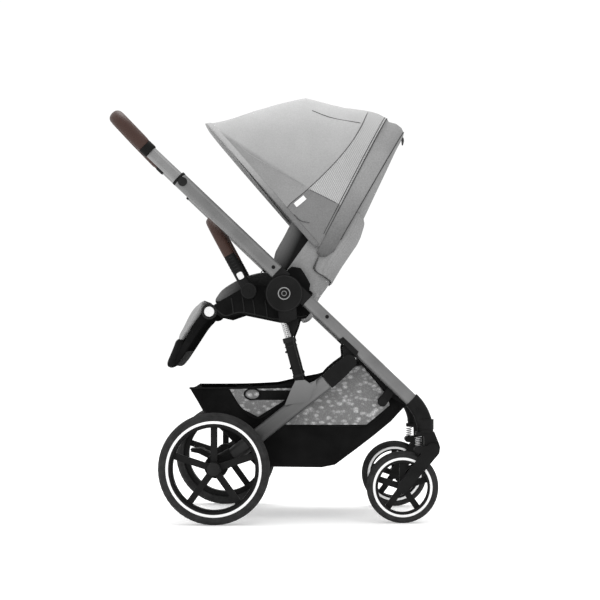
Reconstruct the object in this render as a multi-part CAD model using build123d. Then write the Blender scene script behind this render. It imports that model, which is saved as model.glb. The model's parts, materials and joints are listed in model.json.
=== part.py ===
from build123d import *
from math import atan2, cos, degrees, hypot, radians, sin, sqrt
import os

os.makedirs("parts", exist_ok=True)

# A baby stroller with the seat facing the pusher.  Millimetres; +X is the way it drives,
# +Y its left side, +Z up; the origin is on the floor under the middle.
# Every side piece is drawn for the left side and mirrored for the right one.

# --- frame ---------------------------------------------------------------------------
SIDE_Y = 230.0              # centre plane of each side frame
TUBE_T = 28.0               # thickness of the oval frame tubes across the stroller
SLOPE = -43.6               # main tube, degrees from level, falling forwards
HUB_X, HUB_Z, HUB_R = 26.6, 600.0, 48.5
TUBE_OFFSET = 27.8          # main tube axis above the hub centre
UPPER_H, LOWER_H = 39.5, 35.0
UPPER_SEAM, LOWER_SEAM = 52.8, 56.8     # from the hub centre, along the tube
UPPER_MOUTH, ELBOW_SEAM = 409.8, 433.0
INNER_H, INNER_T, INNER_FIT = 32.0, 20.0, 0.05
ELBOW_X, ELBOW_BOTTOM = 396.0, 245.0

# --- handlebar -----------------------------------------------------------------------
GRIP_R, GRIP_CORNER = 20.0, 78.0
COLLAR_AT = 512.0           # where the grip starts
HANDLE_CORE_R = 9.9
HANDLE_TIP = 632.0          # centre of the cross grip from the hub, along the tube
INNER_START = 318.0         # hidden lower end of the inner tubes

# --- rear legs and strut -------------------------------------------------------------
LEG_PIVOT = (196.6, 420.5)
LEG_SEAM, LEG_FOOT = (137.0, 368.0), (-108.0, 175.0)
LEG_H = 41.0
AXLE = (-154.0, 145.0)
STRUT_TOP, STRUT_FOOT = (23.4, 531.0), (68.0, 366.0)

# --- wheels --------------------------------------------------------------------------
REAR_R, REAR_Y, REAR_W = 145.0, 285.5, 44.0
FRONT_R, FRONT_W = 94.0, 36.0
FRONT_AXLE, FORK_PIVOT, SPRING_BAR = (336.0, 94.0), (414.0, 191.0), (374.0, 193.0)
SPOKES = 5
RUNNING_FIT = 0.05

# --- seat ----------------------------------------------------------------------------
RECLINE_PIVOT = (80.0, 598.0)
LEG_REST_PIVOT, LEG_REST_TIP = (-173.0, 553.5), (-275.0, 408.0)
BUMPER_PIVOT, BUMPER_TOP = (-68.0, 608.0), (-171.0, 798.0)
BUMPER_Y, BUMPER_CORNER = 201.0, 75.0
CANOPY_PIVOT = (115.0, 716.0)
CANOPY_HALF, CANOPY_CORNER, CANOPY_WALL = 205.0, 135.0, 4.0
FRONT_BOW, MID_BOW, ZIP_BOW = 130.6, 94.4, 62.8     # degrees above level forwards

ALONG = Vector(cos(radians(SLOPE)), 0, sin(radians(SLOPE)))
ABOVE = Vector(-ALONG.Z, 0, ALONG.X)
LOW = (Align.CENTER, Align.CENTER, Align.MIN)


def spot(point, y=0.0):
    return Vector(point[0], y, point[1])


def tube_point(along, above=TUBE_OFFSET, y=SIDE_Y):
    """A point of the side frame: distance forwards down the main tube, and above the hub centre."""
    return Vector(HUB_X, y, HUB_Z) + ALONG * along + ABOVE * above


def side_plate(outline, y_lo, y_hi):
    """A flat piece with a closed outline in the side view."""
    wire = Wire.make_polygon([Vector(x, y_lo, z) for x, z in outline], close=True)
    return extrude(Face(wire), amount=y_hi - y_lo, dir=(0, 1, 0))


def disc(centre, radius, y_lo, y_hi):
    plane = Plane(origin=spot(centre, y_lo), x_dir=(1, 0, 0), z_dir=(0, 1, 0))
    return plane * Cylinder(radius, y_hi - y_lo, align=LOW)


def rod(start, end, radius):
    return Plane(origin=start, z_dir=end - start) * Cylinder(radius, (end - start).length, align=LOW)


def oval_bar(start, end, height, thick):
    """A straight bar with an oval section, its height in the side view."""
    plane = Plane(origin=start, x_dir=(0, 1, 0), z_dir=end - start)
    section = plane * RectangleRounded(thick, height, thick * 0.46)
    return extrude(section, amount=(end - start).length)


def link(a, b, r_a, r_b, y_lo, y_hi):
    """A flat link with a round end at each of two points."""
    dx, dz = b[0] - a[0], b[1] - a[1]
    nx, nz = -dz / hypot(dx, dz), dx / hypot(dx, dz)
    sides = [
        (a[0] + nx * r_a, a[1] + nz * r_a),
        (b[0] + nx * r_b, b[1] + nz * r_b),
        (b[0] - nx * r_b, b[1] - nz * r_b),
        (a[0] - nx * r_a, a[1] - nz * r_a),
    ]
    return side_plate(sides, y_lo, y_hi) + disc(a, r_a, y_lo, y_hi) + disc(b, r_b, y_lo, y_hi)


def frame_outline(corners):
    """Side-view corners given along the main tube and above the hub centre."""
    points = [tube_point(along, above) for along, above in corners]
    return [(p.X, p.Z) for p in points]


# --- main frame ----------------------------------------------------------------------
def front_tube():
    return oval_bar(tube_point(LOWER_SEAM), tube_point(ELBOW_SEAM), LOWER_H, TUBE_T)


def hub():
    """The fixed half of the fold joint: two cheeks, the stub of the lower tube and the strut lug."""
    centre = (HUB_X, HUB_Z)
    y_in, y_out = SIDE_Y - 17, SIDE_Y + 18
    body = disc(centre, HUB_R, y_in, y_out)
    top, bottom = TUBE_OFFSET + LOWER_H / 2, TUBE_OFFSET - LOWER_H / 2
    stub = frame_outline([(10, bottom), (10, top), (LOWER_SEAM, top), (LOWER_SEAM, bottom)])
    body += side_plate(stub, y_in + 1, y_out - 3)
    wedge = [(10, 562), (58, 566), (60, 534), (32, 522), (14, 524)]
    body += side_plate(wedge, y_in, y_out - 2)
    body -= disc(centre, HUB_R + 1, SIDE_Y - 8, SIDE_Y + 8)
    body += disc(centre, 9.95, SIDE_Y - 9, SIDE_Y + 9)
    body -= side_plate([(-5, 556), (62, 556), (62, 515), (-5, 515)], SIDE_Y - 7.6, SIDE_Y + 7.6)
    return body + disc(STRUT_TOP, 4.0, SIDE_Y - 12, SIDE_Y + 12)


def elbow():
    """The black corner above each swivel wheel, bored for the swivel pin."""
    start = tube_point(ELBOW_SEAM)
    end = Vector(ELBOW_X, SIDE_Y, ELBOW_BOTTOM)
    bend = TangentArc(start, end, tangent=ALONG)
    section = Plane(origin=start, x_dir=(0, 1, 0), z_dir=ALONG) * RectangleRounded(33, 42, 15)
    body = sweep(section, path=bend)
    foot = Plane(origin=end) * Cylinder(22, 26, align=LOW)
    bore = Plane(origin=end - Vector(0, 0, 2)) * Cylinder(8 + RUNNING_FIT, 24, align=LOW)
    cut = Pos(ELBOW_X, SIDE_Y, ELBOW_BOTTOM - 20) * Box(90, 90, 40)
    return body + foot - cut - bore


def leg_lug():
    """The black lug under each main tube that carries the rear leg."""
    root = frame_outline([(188, 10.6), (190, 24), (246, 24), (250, 10.6)])
    saddle = side_plate(root, SIDE_Y - 16, SIDE_Y + 16)
    body = saddle + link(LEG_PIVOT, frame_outline([(222, 14)])[0], 13, 17, SIDE_Y - 6, SIDE_Y + 6)
    body -= oval_bar(tube_point(150), tube_point(300), LOWER_H, TUBE_T)
    return body - disc(LEG_PIVOT, 6 + RUNNING_FIT, SIDE_Y - 20, SIDE_Y + 20)


def front_cross_tube():
    bar = disc((285, 316.5), 11, -SIDE_Y + 12, SIDE_Y - 12)
    for s in (1, -1):
        ends = sorted((s * (SIDE_Y - 28), s * (SIDE_Y - 14.5)))
        bar += link((285, 316.5), (312, 352), 13, 10, *ends)
    return bar


# --- folding handle ------------------------------------------------------------------
def knuckle():
    """The moving half of the fold joint: a tongue between the hub cheeks and the tube socket."""
    centre = (HUB_X, HUB_Z)
    top, bottom = TUBE_OFFSET + UPPER_H / 2, TUBE_OFFSET - UPPER_H / 2
    neck = frame_outline([(-24, bottom), (-24, top), (-UPPER_SEAM, top), (-UPPER_SEAM, bottom)])
    socket = side_plate(neck, SIDE_Y - 16, SIDE_Y + 16) - disc(centre, HUB_R + 1, 0, 300)
    tongue = side_plate(neck, SIDE_Y - 7.7, SIDE_Y + 7.7) + disc(centre, 44, SIDE_Y - 7.7, SIDE_Y + 7.7)
    return socket + tongue - disc(centre, 10, SIDE_Y - 20, SIDE_Y + 20)


def upper_tube():
    tube = oval_bar(tube_point(-UPPER_SEAM), tube_point(-UPPER_MOUTH), UPPER_H, TUBE_T)
    fit = 2 * INNER_FIT
    bore = oval_bar(tube_point(-UPPER_SEAM - 40), tube_point(-UPPER_MOUTH - 5),
                    INNER_H + fit, INNER_T + fit)
    button_hole = disc(button_place(), 12.2, SIDE_Y + 9, SIDE_Y + 20)
    return tube - bore - button_hole


def button_place():
    point = tube_point(-UPPER_MOUTH + 14, TUBE_OFFSET + 1)
    return point.X, point.Z


def height_button():
    """The round push button that frees the sliding handlebar, 3 mm travel."""
    button = disc(button_place(), 12, SIDE_Y + 13.4, SIDE_Y + 18)
    return fillet(button.edges().group_by(Axis.Y)[-1], 1.5)


def handle_bend(start, radius):
    """A round bar following the U of the handlebar from one side tube to the other."""
    path = FilletPolyline(
        tube_point(-start), tube_point(-HANDLE_TIP), tube_point(-HANDLE_TIP, y=-SIDE_Y),
        tube_point(-start, y=-SIDE_Y), radius=GRIP_CORNER)
    section = Plane(origin=tube_point(-start), z_dir=-ALONG) * Circle(radius)
    return sweep(section, path=path)


def handle_tube():
    """The sliding handlebar: an oval tube each side, drawn round where the grip covers it."""
    body = handle_bend(COLLAR_AT, HANDLE_CORE_R)
    for y in (SIDE_Y, -SIDE_Y):
        body += oval_bar(tube_point(-INNER_START, y=y), tube_point(-COLLAR_AT - 4, y=y), INNER_H, INNER_T)
    return body


def handle_grip():
    """The padded sleeve on the cross part of the handlebar."""
    foot = COLLAR_AT + 4.1
    return handle_bend(foot, GRIP_R) - handle_bend(foot - 2, HANDLE_CORE_R)


# --- rear legs -----------------------------------------------------------------------
def rear_leg():
    """The leg tube, with the forked bracket welded on top that holds the foot of the strut."""
    return oval_bar(spot(LEG_FOOT, SIDE_Y), spot(LEG_SEAM, SIDE_Y), LEG_H, TUBE_T) + gusset()


def leg_connector():
    """The black knee between the rear leg and its pivot, forked round the lug."""
    outline = [(127, 384), (140, 399), (160, 416), (181, 431), (212, 410), (192, 388), (170, 368), (152, 352)]
    body = side_plate(outline, SIDE_Y - 16, SIDE_Y + 16) + disc(LEG_PIVOT, 19, SIDE_Y - 16, SIDE_Y + 16)
    body = fillet(body.edges().filter_by(Axis.Y), 3)
    slot = disc(LEG_PIVOT, 31, SIDE_Y - 6.2, SIDE_Y + 6.2)
    body -= slot
    body -= oval_bar(spot((137 - 120, 368 - 94.5), SIDE_Y), spot(LEG_SEAM, SIDE_Y), LEG_H, TUBE_T)
    return body + disc(LEG_PIVOT, 6, SIDE_Y - 16, SIDE_Y + 16)


def gusset():
    """The forked grey bracket on each rear leg that holds the foot of the strut."""
    outline = [(28, 308), (46, 352), (56, 372), (80, 374), (98, 362), (112, 376), (92, 318)]
    body = Part()
    for y in (SIDE_Y - 18, SIDE_Y + 14.2):
        body += side_plate(outline, y, y + 3.8)
    body += side_plate([(34, 318), (60, 342), (98, 368), (110, 372), (112, 352), (80, 330)], SIDE_Y - 16, SIDE_Y + 16)
    body -= oval_bar(spot(LEG_FOOT, SIDE_Y), spot((160, 386), SIDE_Y), LEG_H, TUBE_T)
    body -= disc(STRUT_FOOT, 18, SIDE_Y - 14.2, SIDE_Y + 14.2)
    return body + disc(STRUT_FOOT, 4, SIDE_Y - 18, SIDE_Y + 18)


def axle_housing():
    body = disc((AXLE[0] + 3, AXLE[1] + 3), 31, SIDE_Y - 18, SIDE_Y + 18)
    body += oval_bar(spot((AXLE[0] + 8, 153), SIDE_Y), spot(LEG_FOOT, SIDE_Y), 46, 34)
    body -= oval_bar(spot(LEG_FOOT, SIDE_Y), spot(LEG_SEAM, SIDE_Y), LEG_H, TUBE_T)
    return body - disc(AXLE, 12, SIDE_Y - 30, SIDE_Y + 2) - disc(AXLE, 6, SIDE_Y, SIDE_Y + 30)


def rear_axle():
    bar = disc(AXLE, 12, -SIDE_Y - 2, SIDE_Y + 2)
    return bar + disc(AXLE, 6, -REAR_Y - 17, REAR_Y + 17)


def brake_pedal():
    """The foot bar in the middle of the rear axle."""
    body = disc(AXLE, 19, -44, 44) - disc(AXLE, 12 + RUNNING_FIT, -50, 50)
    arm = [(-160, 158), (-170, 147), (-212, 168), (-232, 172), (-234, 180), (-206, 182)]
    return body + side_plate(arm, -34, 34) - disc(AXLE, 12 + RUNNING_FIT, -50, 50)


# --- strut ---------------------------------------------------------------------------
def strut_point(distance):
    dx, dz = STRUT_FOOT[0] - STRUT_TOP[0], STRUT_FOOT[1] - STRUT_TOP[1]
    length = hypot(dx, dz)
    return Vector(STRUT_TOP[0] + dx * distance / length, SIDE_Y, STRUT_TOP[1] + dz * distance / length)


def strut_rod():
    rod_body = rod(strut_point(0), strut_point(158), 7)
    rod_body += disc(STRUT_TOP, 9, SIDE_Y - 7.4, SIDE_Y + 7.4)
    return rod_body - disc(STRUT_TOP, 4 + RUNNING_FIT, SIDE_Y - 20, SIDE_Y + 20)


def strut_cylinder():
    sleeve = rod(strut_point(52), strut_point(171), 12.5)
    sleeve += disc(STRUT_FOOT, 13.5, SIDE_Y - 13.4, SIDE_Y + 13.4)
    sleeve -= rod(strut_point(40), strut_point(160), 7 + RUNNING_FIT)
    return sleeve - disc(STRUT_FOOT, 9, SIDE_Y - 20, SIDE_Y + 20)


# --- wheels --------------------------------------------------------------------------
def wheel_plane(centre, y):
    return Plane(origin=spot(centre, y), x_dir=(0, 1, 0), z_dir=(1, 0, 0))


def tyre(centre, y, radius, width, inner):
    depth = radius - inner
    section = wheel_plane(centre, y) * Pos(0, (radius + inner) / 2) * RectangleRounded(width, depth, depth * 0.42)
    return revolve(section, axis=Axis(spot(centre, y), (0, 1, 0)))


def rim(centre, y, outer, inner, width, hub_r, hub_w, spoke_w, bore):
    """A moulded rim with straight spokes, one of them pointing straight up."""
    body = disc(centre, outer, y - width / 2, y + width / 2) - disc(centre, inner, y - width, y + width)
    body += disc(centre, hub_r, y - hub_w / 2, y + hub_w / 2)
    for n in range(SPOKES):
        spoke = Pos(0, 0, (inner + 6) / 2) * Box(spoke_w, width * 0.5, inner + 6)
        body += Pos(*spot(centre, y)) * Rot(0, 360 / SPOKES * n, 0) * spoke
    return body - disc(centre, bore, y - 60, y + 60)


def rear_rim():
    body = rim(AXLE, REAR_Y, 122, 107, 30, 18, 40, 17, 6 + RUNNING_FIT)
    return body + disc(AXLE, 18, REAR_Y + 18, REAR_Y + 22)


def front_rim():
    return rim(FRONT_AXLE, SIDE_Y, 75, 66, 26, 15, 36, 16, 5 + RUNNING_FIT)


# --- swivel and suspension -----------------------------------------------------------
def caster_head():
    outline = [(371, 238), (419, 238), (431, 208), (434, 198), (431, 182), (420, 173), (403, 174),
               (393, 190), (392, 227), (371, 229)]
    body = side_plate(outline, SIDE_Y - 17, SIDE_Y + 17)
    body += Pos(ELBOW_X, SIDE_Y, 236) * Cylinder(21, ELBOW_BOTTOM - 236.5, align=LOW)
    body += Pos(ELBOW_X, SIDE_Y, 236) * Cylinder(8, 29, align=LOW)
    return body - disc(FORK_PIVOT, 6 + RUNNING_FIT, SIDE_Y - 30, SIDE_Y + 30)


def fork():
    """Two arms either side of the front wheel, joined by the pivot pin, the spring bar and the axle."""
    body = disc(FORK_PIVOT, 6, SIDE_Y - 27, SIDE_Y + 27) + disc(FRONT_AXLE, 5, SIDE_Y - 27, SIDE_Y + 27)
    body += disc(SPRING_BAR, 7, SIDE_Y - 27, SIDE_Y + 27)
    for y in (SIDE_Y - 27, SIDE_Y + 20):
        body += link(FORK_PIVOT, FRONT_AXLE, 18, 15, y, y + 7)
        body += link(FORK_PIVOT, SPRING_BAR, 12, 8, y, y + 7)
    return body


def fork_spring():
    path = Helix(pitch=5.9, height=23.6, radius=7.6, center=(SPRING_BAR[0] + 4, SIDE_Y, 202), direction=(0, 0, 1))
    wire = Plane(origin=path @ 0, z_dir=path % 0) * Circle(1.3)
    return sweep(wire, path=path, is_frenet=True)


# --- basket --------------------------------------------------------------------------
def basket():
    """The fabric tray under the seat, open at the top."""
    outer = [(-222, 351), (-190, 293), (-148, 247), (-128, 229), (-48, 145), (134, 143), (164, 149), (217, 192),
             (298, 252), (338, 298), (350, 308), (297, 333), (243, 401), (227, 417), (53, 361)]
    inner = [(-214, 353), (-185, 296), (-144, 251), (-124, 233), (-46, 149), (133, 147), (162, 153), (215, 196),
             (294, 256), (331, 298), (293, 330), (240, 397), (226, 412), (220, 440), (53, 430), (-214, 430)]
    body = side_plate(outer, -200, 200) - side_plate(inner, -196, 196)
    return body - disc((285, 316.5), 13.4, -210, 210)


# --- seat ----------------------------------------------------------------------------
def seat_shell():
    """The ribbed plastic base of the seat, with a cheek each side for the joints."""
    outline = [(-150, 545), (-142, 538), (-128, 535), (-90, 548), (11, 527), (63, 531), (83, 536), (94, 548),
               (100, 562), (60, 556), (10, 549), (-90, 569), (-138, 560)]
    body = side_plate(outline, -186, 186)
    for s in (1, -1):
        y_lo, y_hi = sorted((s * 177, s * 187))
        body += side_plate([(-160, 547), (-130, 538), (-90, 550), (11, 530), (88, 540), (104, 566), (98, 606),
                            (62, 616), (-50, 624), (-84, 616), (-130, 590), (-160, 572)], y_lo, y_hi)
        body += disc(LEG_REST_PIVOT, 21, y_lo, y_hi)
        body += disc(BUMPER_PIVOT, 21, *sorted((s * 177, s * 189)))
    for s in (1, -1):
        body -= disc(LEG_REST_PIVOT, 13.8, *sorted((s * 181, s * 200)))
        body -= disc(RECLINE_PIVOT, 8 + RUNNING_FIT, *sorted((s * 170, s * 192)))
        body -= disc(LEG_REST_PIVOT, 6 + RUNNING_FIT, *sorted((s * 170, s * 183)))
        body -= disc(BUMPER_PIVOT, 7 + RUNNING_FIT, *sorted((s * 182, s * 200)))
    return body + seat_adapter() + mirror(seat_adapter(), about=Plane.XZ)


def seat_adapter():
    """The black upright each side that hangs the seat on the hub."""
    outline = [(36, 664), (46, 672), (70, 668), (80, 653), (95, 626), (92, 606), (60, 566), (14, 566), (10, 600)]
    body = side_plate(outline, 198, 211)
    body += side_plate([(22, 560), (60, 556), (70, 580), (40, 590), (20, 588)], 184, 204)
    return fillet(body.edges().filter_by(Axis.Y), 2)


def seat_cushion():
    outline = [(-161, 585), (-161, 591), (-138, 612), (-102, 634), (-67, 650), (-24, 659), (20, 652), (44, 640),
               (48, 572), (10, 551.5), (-90, 571), (-140, 562)]
    body = side_plate(outline, -172, 172)
    return fillet(body.edges().filter_by(Axis.Y, reverse=True), 6)


def buckle():
    body = Pos(-18, 0, 676) * Rot(0, -14, 0) * Box(40, 46, 14)
    return fillet(body.edges(), 5)


# --- leg rest ------------------------------------------------------------------------
def leg_rest_panel():
    outline = [(-187, 580), (-201, 575), (-221, 551), (-260, 479), (-281, 412), (-275, 404), (-266, 408),
               (-256, 419), (-199, 508), (-190, 520), (-194, 545), (-196, 562)]
    body = side_plate(outline, -168, 168)
    for s in (1, -1):
        y_lo, y_hi = sorted((s * 158, s * 176.5))
        body += link(LEG_REST_PIVOT, (-205, 530), 11, 12, y_lo, y_hi)
        body += disc(LEG_REST_PIVOT, 6, *sorted((s * 170, s * 180.5)))
    return body


def leg_rest_button():
    button = disc(LEG_REST_PIVOT, 13.5, 184.2, 191)
    return fillet(button.edges().group_by(Axis.Y)[-1], 2)


# --- bumper bar ----------------------------------------------------------------------
def bumper_point(share, y=BUMPER_Y):
    x = BUMPER_PIVOT[0] + (BUMPER_TOP[0] - BUMPER_PIVOT[0]) * share
    z = BUMPER_PIVOT[1] + (BUMPER_TOP[1] - BUMPER_PIVOT[1]) * share
    return Vector(x, y, z)


def bumper_arm():
    """The ribbed plastic foot of the bumper bar, turning on the seat cheek."""
    body = oval_bar(bumper_point(0), bumper_point(0.5), 30, 22) + disc(BUMPER_PIVOT, 21, 190, 212)
    body += disc(BUMPER_PIVOT, 7, 182.5, 195)
    return body - bumper_button_well()


def bumper_button_plane(y):
    point = bumper_point(0.21)
    lean = degrees(atan2(BUMPER_TOP[1] - BUMPER_PIVOT[1], BUMPER_TOP[0] - BUMPER_PIVOT[0]))
    return Plane(origin=(point.X, y, point.Z), x_dir=(cos(radians(lean)), 0, sin(radians(lean))), z_dir=(0, 1, 0))


def bumper_button_well():
    return extrude(bumper_button_plane(206) * RectangleRounded(20, 17, 5), amount=12)


def bumper_button():
    return extrude(bumper_button_plane(209.2) * RectangleRounded(19, 16, 4.6), amount=4.4)


def bumper_grip():
    """The padded cross bar between the two arms."""
    path = FilletPolyline(bumper_point(0.5), bumper_point(1), bumper_point(1, -BUMPER_Y),
                          bumper_point(0.5, -BUMPER_Y), radius=BUMPER_CORNER)
    start = bumper_point(0.5)
    section = Plane(origin=start, x_dir=(0, 1, 0), z_dir=path % 0) * Ellipse(12, 15.5)
    return sweep(section, path=path)


# --- backrest ------------------------------------------------------------------------
def back_frame():
    """The plastic loop behind the child, with the recline pivots."""
    body = side_plate([(98, 640), (118, 632), (310, 1000), (292, 1010)], -150, 150)
    body -= side_plate([(122, 688), (150, 674), (300, 960), (272, 974)], -112, 112)
    for s in (1, -1):
        y_lo, y_hi = sorted((s * 140, s * 176))
        body += link(RECLINE_PIVOT, (108, 642), 17, 9, y_lo, y_hi)
        body += disc(RECLINE_PIVOT, 8, *sorted((s * 170, s * 186)))
    return body


def back_pad():
    outline = [(56, 662), (78, 650), (94, 642), (288, 1012), (268, 1040), (252, 1040), (240, 1022)]
    body = side_plate(outline, -168, 168)
    return fillet(body.edges().filter_by(Axis.Y, reverse=True), 6)


def back_cover():
    """The outer fabric back of the seat."""
    outline = [(124, 640), (149, 634), (188, 699), (226, 753), (240, 798), (246, 850), (289, 925), (318, 982),
               (303, 984)]
    return side_plate(outline, -176, 176)


# --- canopy --------------------------------------------------------------------------
def bow_section(origin, angle, reach, half_width, corner, wall, root):
    """One cross section of the canopy: an arch standing on the pivot line, leaning at an angle."""
    lean = radians(angle)
    plane = Plane(origin=spot(origin), x_dir=(0, 1, 0), z_dir=(sin(lean), 0, -cos(lean)))
    mid = sin(radians(45))
    outer, inner, spring = half_width, half_width - wall, reach - corner
    edges = Curve()
    for r, w, flip in ((corner, outer, 1), (corner - wall, inner, -1)):
        hub_y, top = half_width - corner, spring + r
        edges += Line((-w, root), (-w, spring))
        edges += ThreePointArc((-w, spring), (-hub_y - r * mid, spring + r * mid), (-hub_y, top))
        edges += Line((-hub_y, top), (hub_y, top))
        edges += ThreePointArc((hub_y, top), (hub_y + r * mid, spring + r * mid), (w, spring))
        edges += Line((w, spring), (w, root))
        edges += Line((flip * outer, root), (flip * inner, root))
    return plane * make_face(edges)


def canopy_sector(stations, wall=CANOPY_WALL, root=34.0):
    """Fabric stretched over neighbouring bows; each station is an angle and the bow's reach."""
    sections = [bow_section(CANOPY_PIVOT, a, r, CANOPY_HALF, CANOPY_CORNER, wall, root) for a, r in stations]
    return loft(sections, ruled=True)


def canopy_front():
    return canopy_sector([(FRONT_BOW, 462), (122, 441), (108, 429), (MID_BOW + 0.4, 427.5)])


def canopy_mid():
    return canopy_sector([(MID_BOW - 0.4, 427.5), (87, 419), (74, 414.5), (ZIP_BOW + 0.5, 413.5)])


def canopy_rear():
    """The fixed rear of the canopy, down to the seam with the seat back."""
    start = bow_section(CANOPY_PIVOT, ZIP_BOW, 413.5, CANOPY_HALF, CANOPY_CORNER, CANOPY_WALL, 34)
    end = bow_section((150, 700), 60.5, 398, 200, 135, CANOPY_WALL, 18)
    body = loft([start, end], ruled=True)
    for s in (1, -1):
        body += link(CANOPY_PIVOT, (144, 748), 8, 4, *sorted((s * 200.5, s * 205)))
    return body


def save(name, piece):
    export_step(piece, f"parts/{name}.step")


def save_pair(name, piece):
    save(f"{name}_l", piece)
    save(f"{name}_r", mirror(piece, about=Plane.XZ))


def save_twins(name, piece):
    """Two equal pieces, one each side, kept as separate solids of one node."""
    other = mirror(piece, about=Plane.XZ)
    save(name, Compound(children=[piece.solid(), other.solid()]))


save_pair("front_tube", front_tube())
save_pair("hub", hub())
save_pair("elbow", elbow())
save_twins("leg_lugs", leg_lug())
save("front_cross_tube", front_cross_tube())
save("basket", basket())
save_pair("knuckle", knuckle())
save_pair("upper_tube", upper_tube())
save_pair("height_button", height_button())
save("handle_tube", handle_tube())
save("handle_grip", handle_grip())
save_pair("rear_leg", rear_leg())
save_pair("leg_connector", leg_connector())
save_pair("axle_housing", axle_housing())
save("rear_axle", rear_axle())
save("brake_pedal", brake_pedal())
save_pair("strut_rod", strut_rod())
save_pair("strut_cylinder", strut_cylinder())
save_pair("rear_tyre", tyre(AXLE, REAR_Y, REAR_R, REAR_W, 122))
save_pair("rear_rim", rear_rim())
save_pair("front_tyre", tyre(FRONT_AXLE, SIDE_Y, FRONT_R, FRONT_W, 75))
save_pair("front_rim", front_rim())
save_pair("caster_head", caster_head())
save_pair("fork", fork())
save_pair("fork_spring", fork_spring())
save("seat_shell", seat_shell())
save("seat_cushion", seat_cushion())
save("buckle", buckle())
save("leg_rest", leg_rest_panel())
save_pair("leg_rest_button", leg_rest_button())
save_pair("bumper_arm", bumper_arm())
save_pair("bumper_button", bumper_button())
save("bumper_grip", bumper_grip())
save("back_frame", back_frame())
save("back_pad", back_pad())
save("back_cover", back_cover())
save("canopy_rear", canopy_rear())
save("canopy_mid", canopy_mid())
save("canopy_front", canopy_front())
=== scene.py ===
import json
from math import atan2, cos, hypot, pi, radians, sin, sqrt

import bmesh
import bpy
import numpy as np
from mathutils import Matrix, Vector


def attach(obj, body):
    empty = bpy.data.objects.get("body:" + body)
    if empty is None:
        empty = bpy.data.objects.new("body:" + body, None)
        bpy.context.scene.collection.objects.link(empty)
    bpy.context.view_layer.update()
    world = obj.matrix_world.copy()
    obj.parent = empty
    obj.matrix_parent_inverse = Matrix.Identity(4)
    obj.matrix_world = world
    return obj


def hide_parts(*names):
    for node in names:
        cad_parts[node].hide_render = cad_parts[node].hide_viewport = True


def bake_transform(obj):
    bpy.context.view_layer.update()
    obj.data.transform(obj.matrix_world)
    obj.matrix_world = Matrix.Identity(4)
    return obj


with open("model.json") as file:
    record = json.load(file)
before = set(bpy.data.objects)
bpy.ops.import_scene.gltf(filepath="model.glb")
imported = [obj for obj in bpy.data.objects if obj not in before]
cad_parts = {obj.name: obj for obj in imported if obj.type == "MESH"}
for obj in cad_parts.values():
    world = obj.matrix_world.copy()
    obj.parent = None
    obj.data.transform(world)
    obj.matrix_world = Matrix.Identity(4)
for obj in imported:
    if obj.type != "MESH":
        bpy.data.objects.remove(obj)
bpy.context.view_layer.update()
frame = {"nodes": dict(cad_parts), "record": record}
NODES = frame["nodes"]
SIDES = {"l": 1, "r": -1}
joints = {j["name"]: j for j in frame["record"]["behaviour"]["joints"]}


def joint_place(name):
    """Where a joint turns, in millimetres."""
    return [1000 * v for v in joints[name]["pos_m"]]


PIVOT = joint_place("canopy_fold")
RECLINE = joint_place("recline")
LEG_REST = joint_place("leg_rest_tilt")
BUMPER = joint_place("bumper_open")
HUB = joint_place("handle_fold")

# --- materials -----------------------------------------------------------------------


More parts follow.
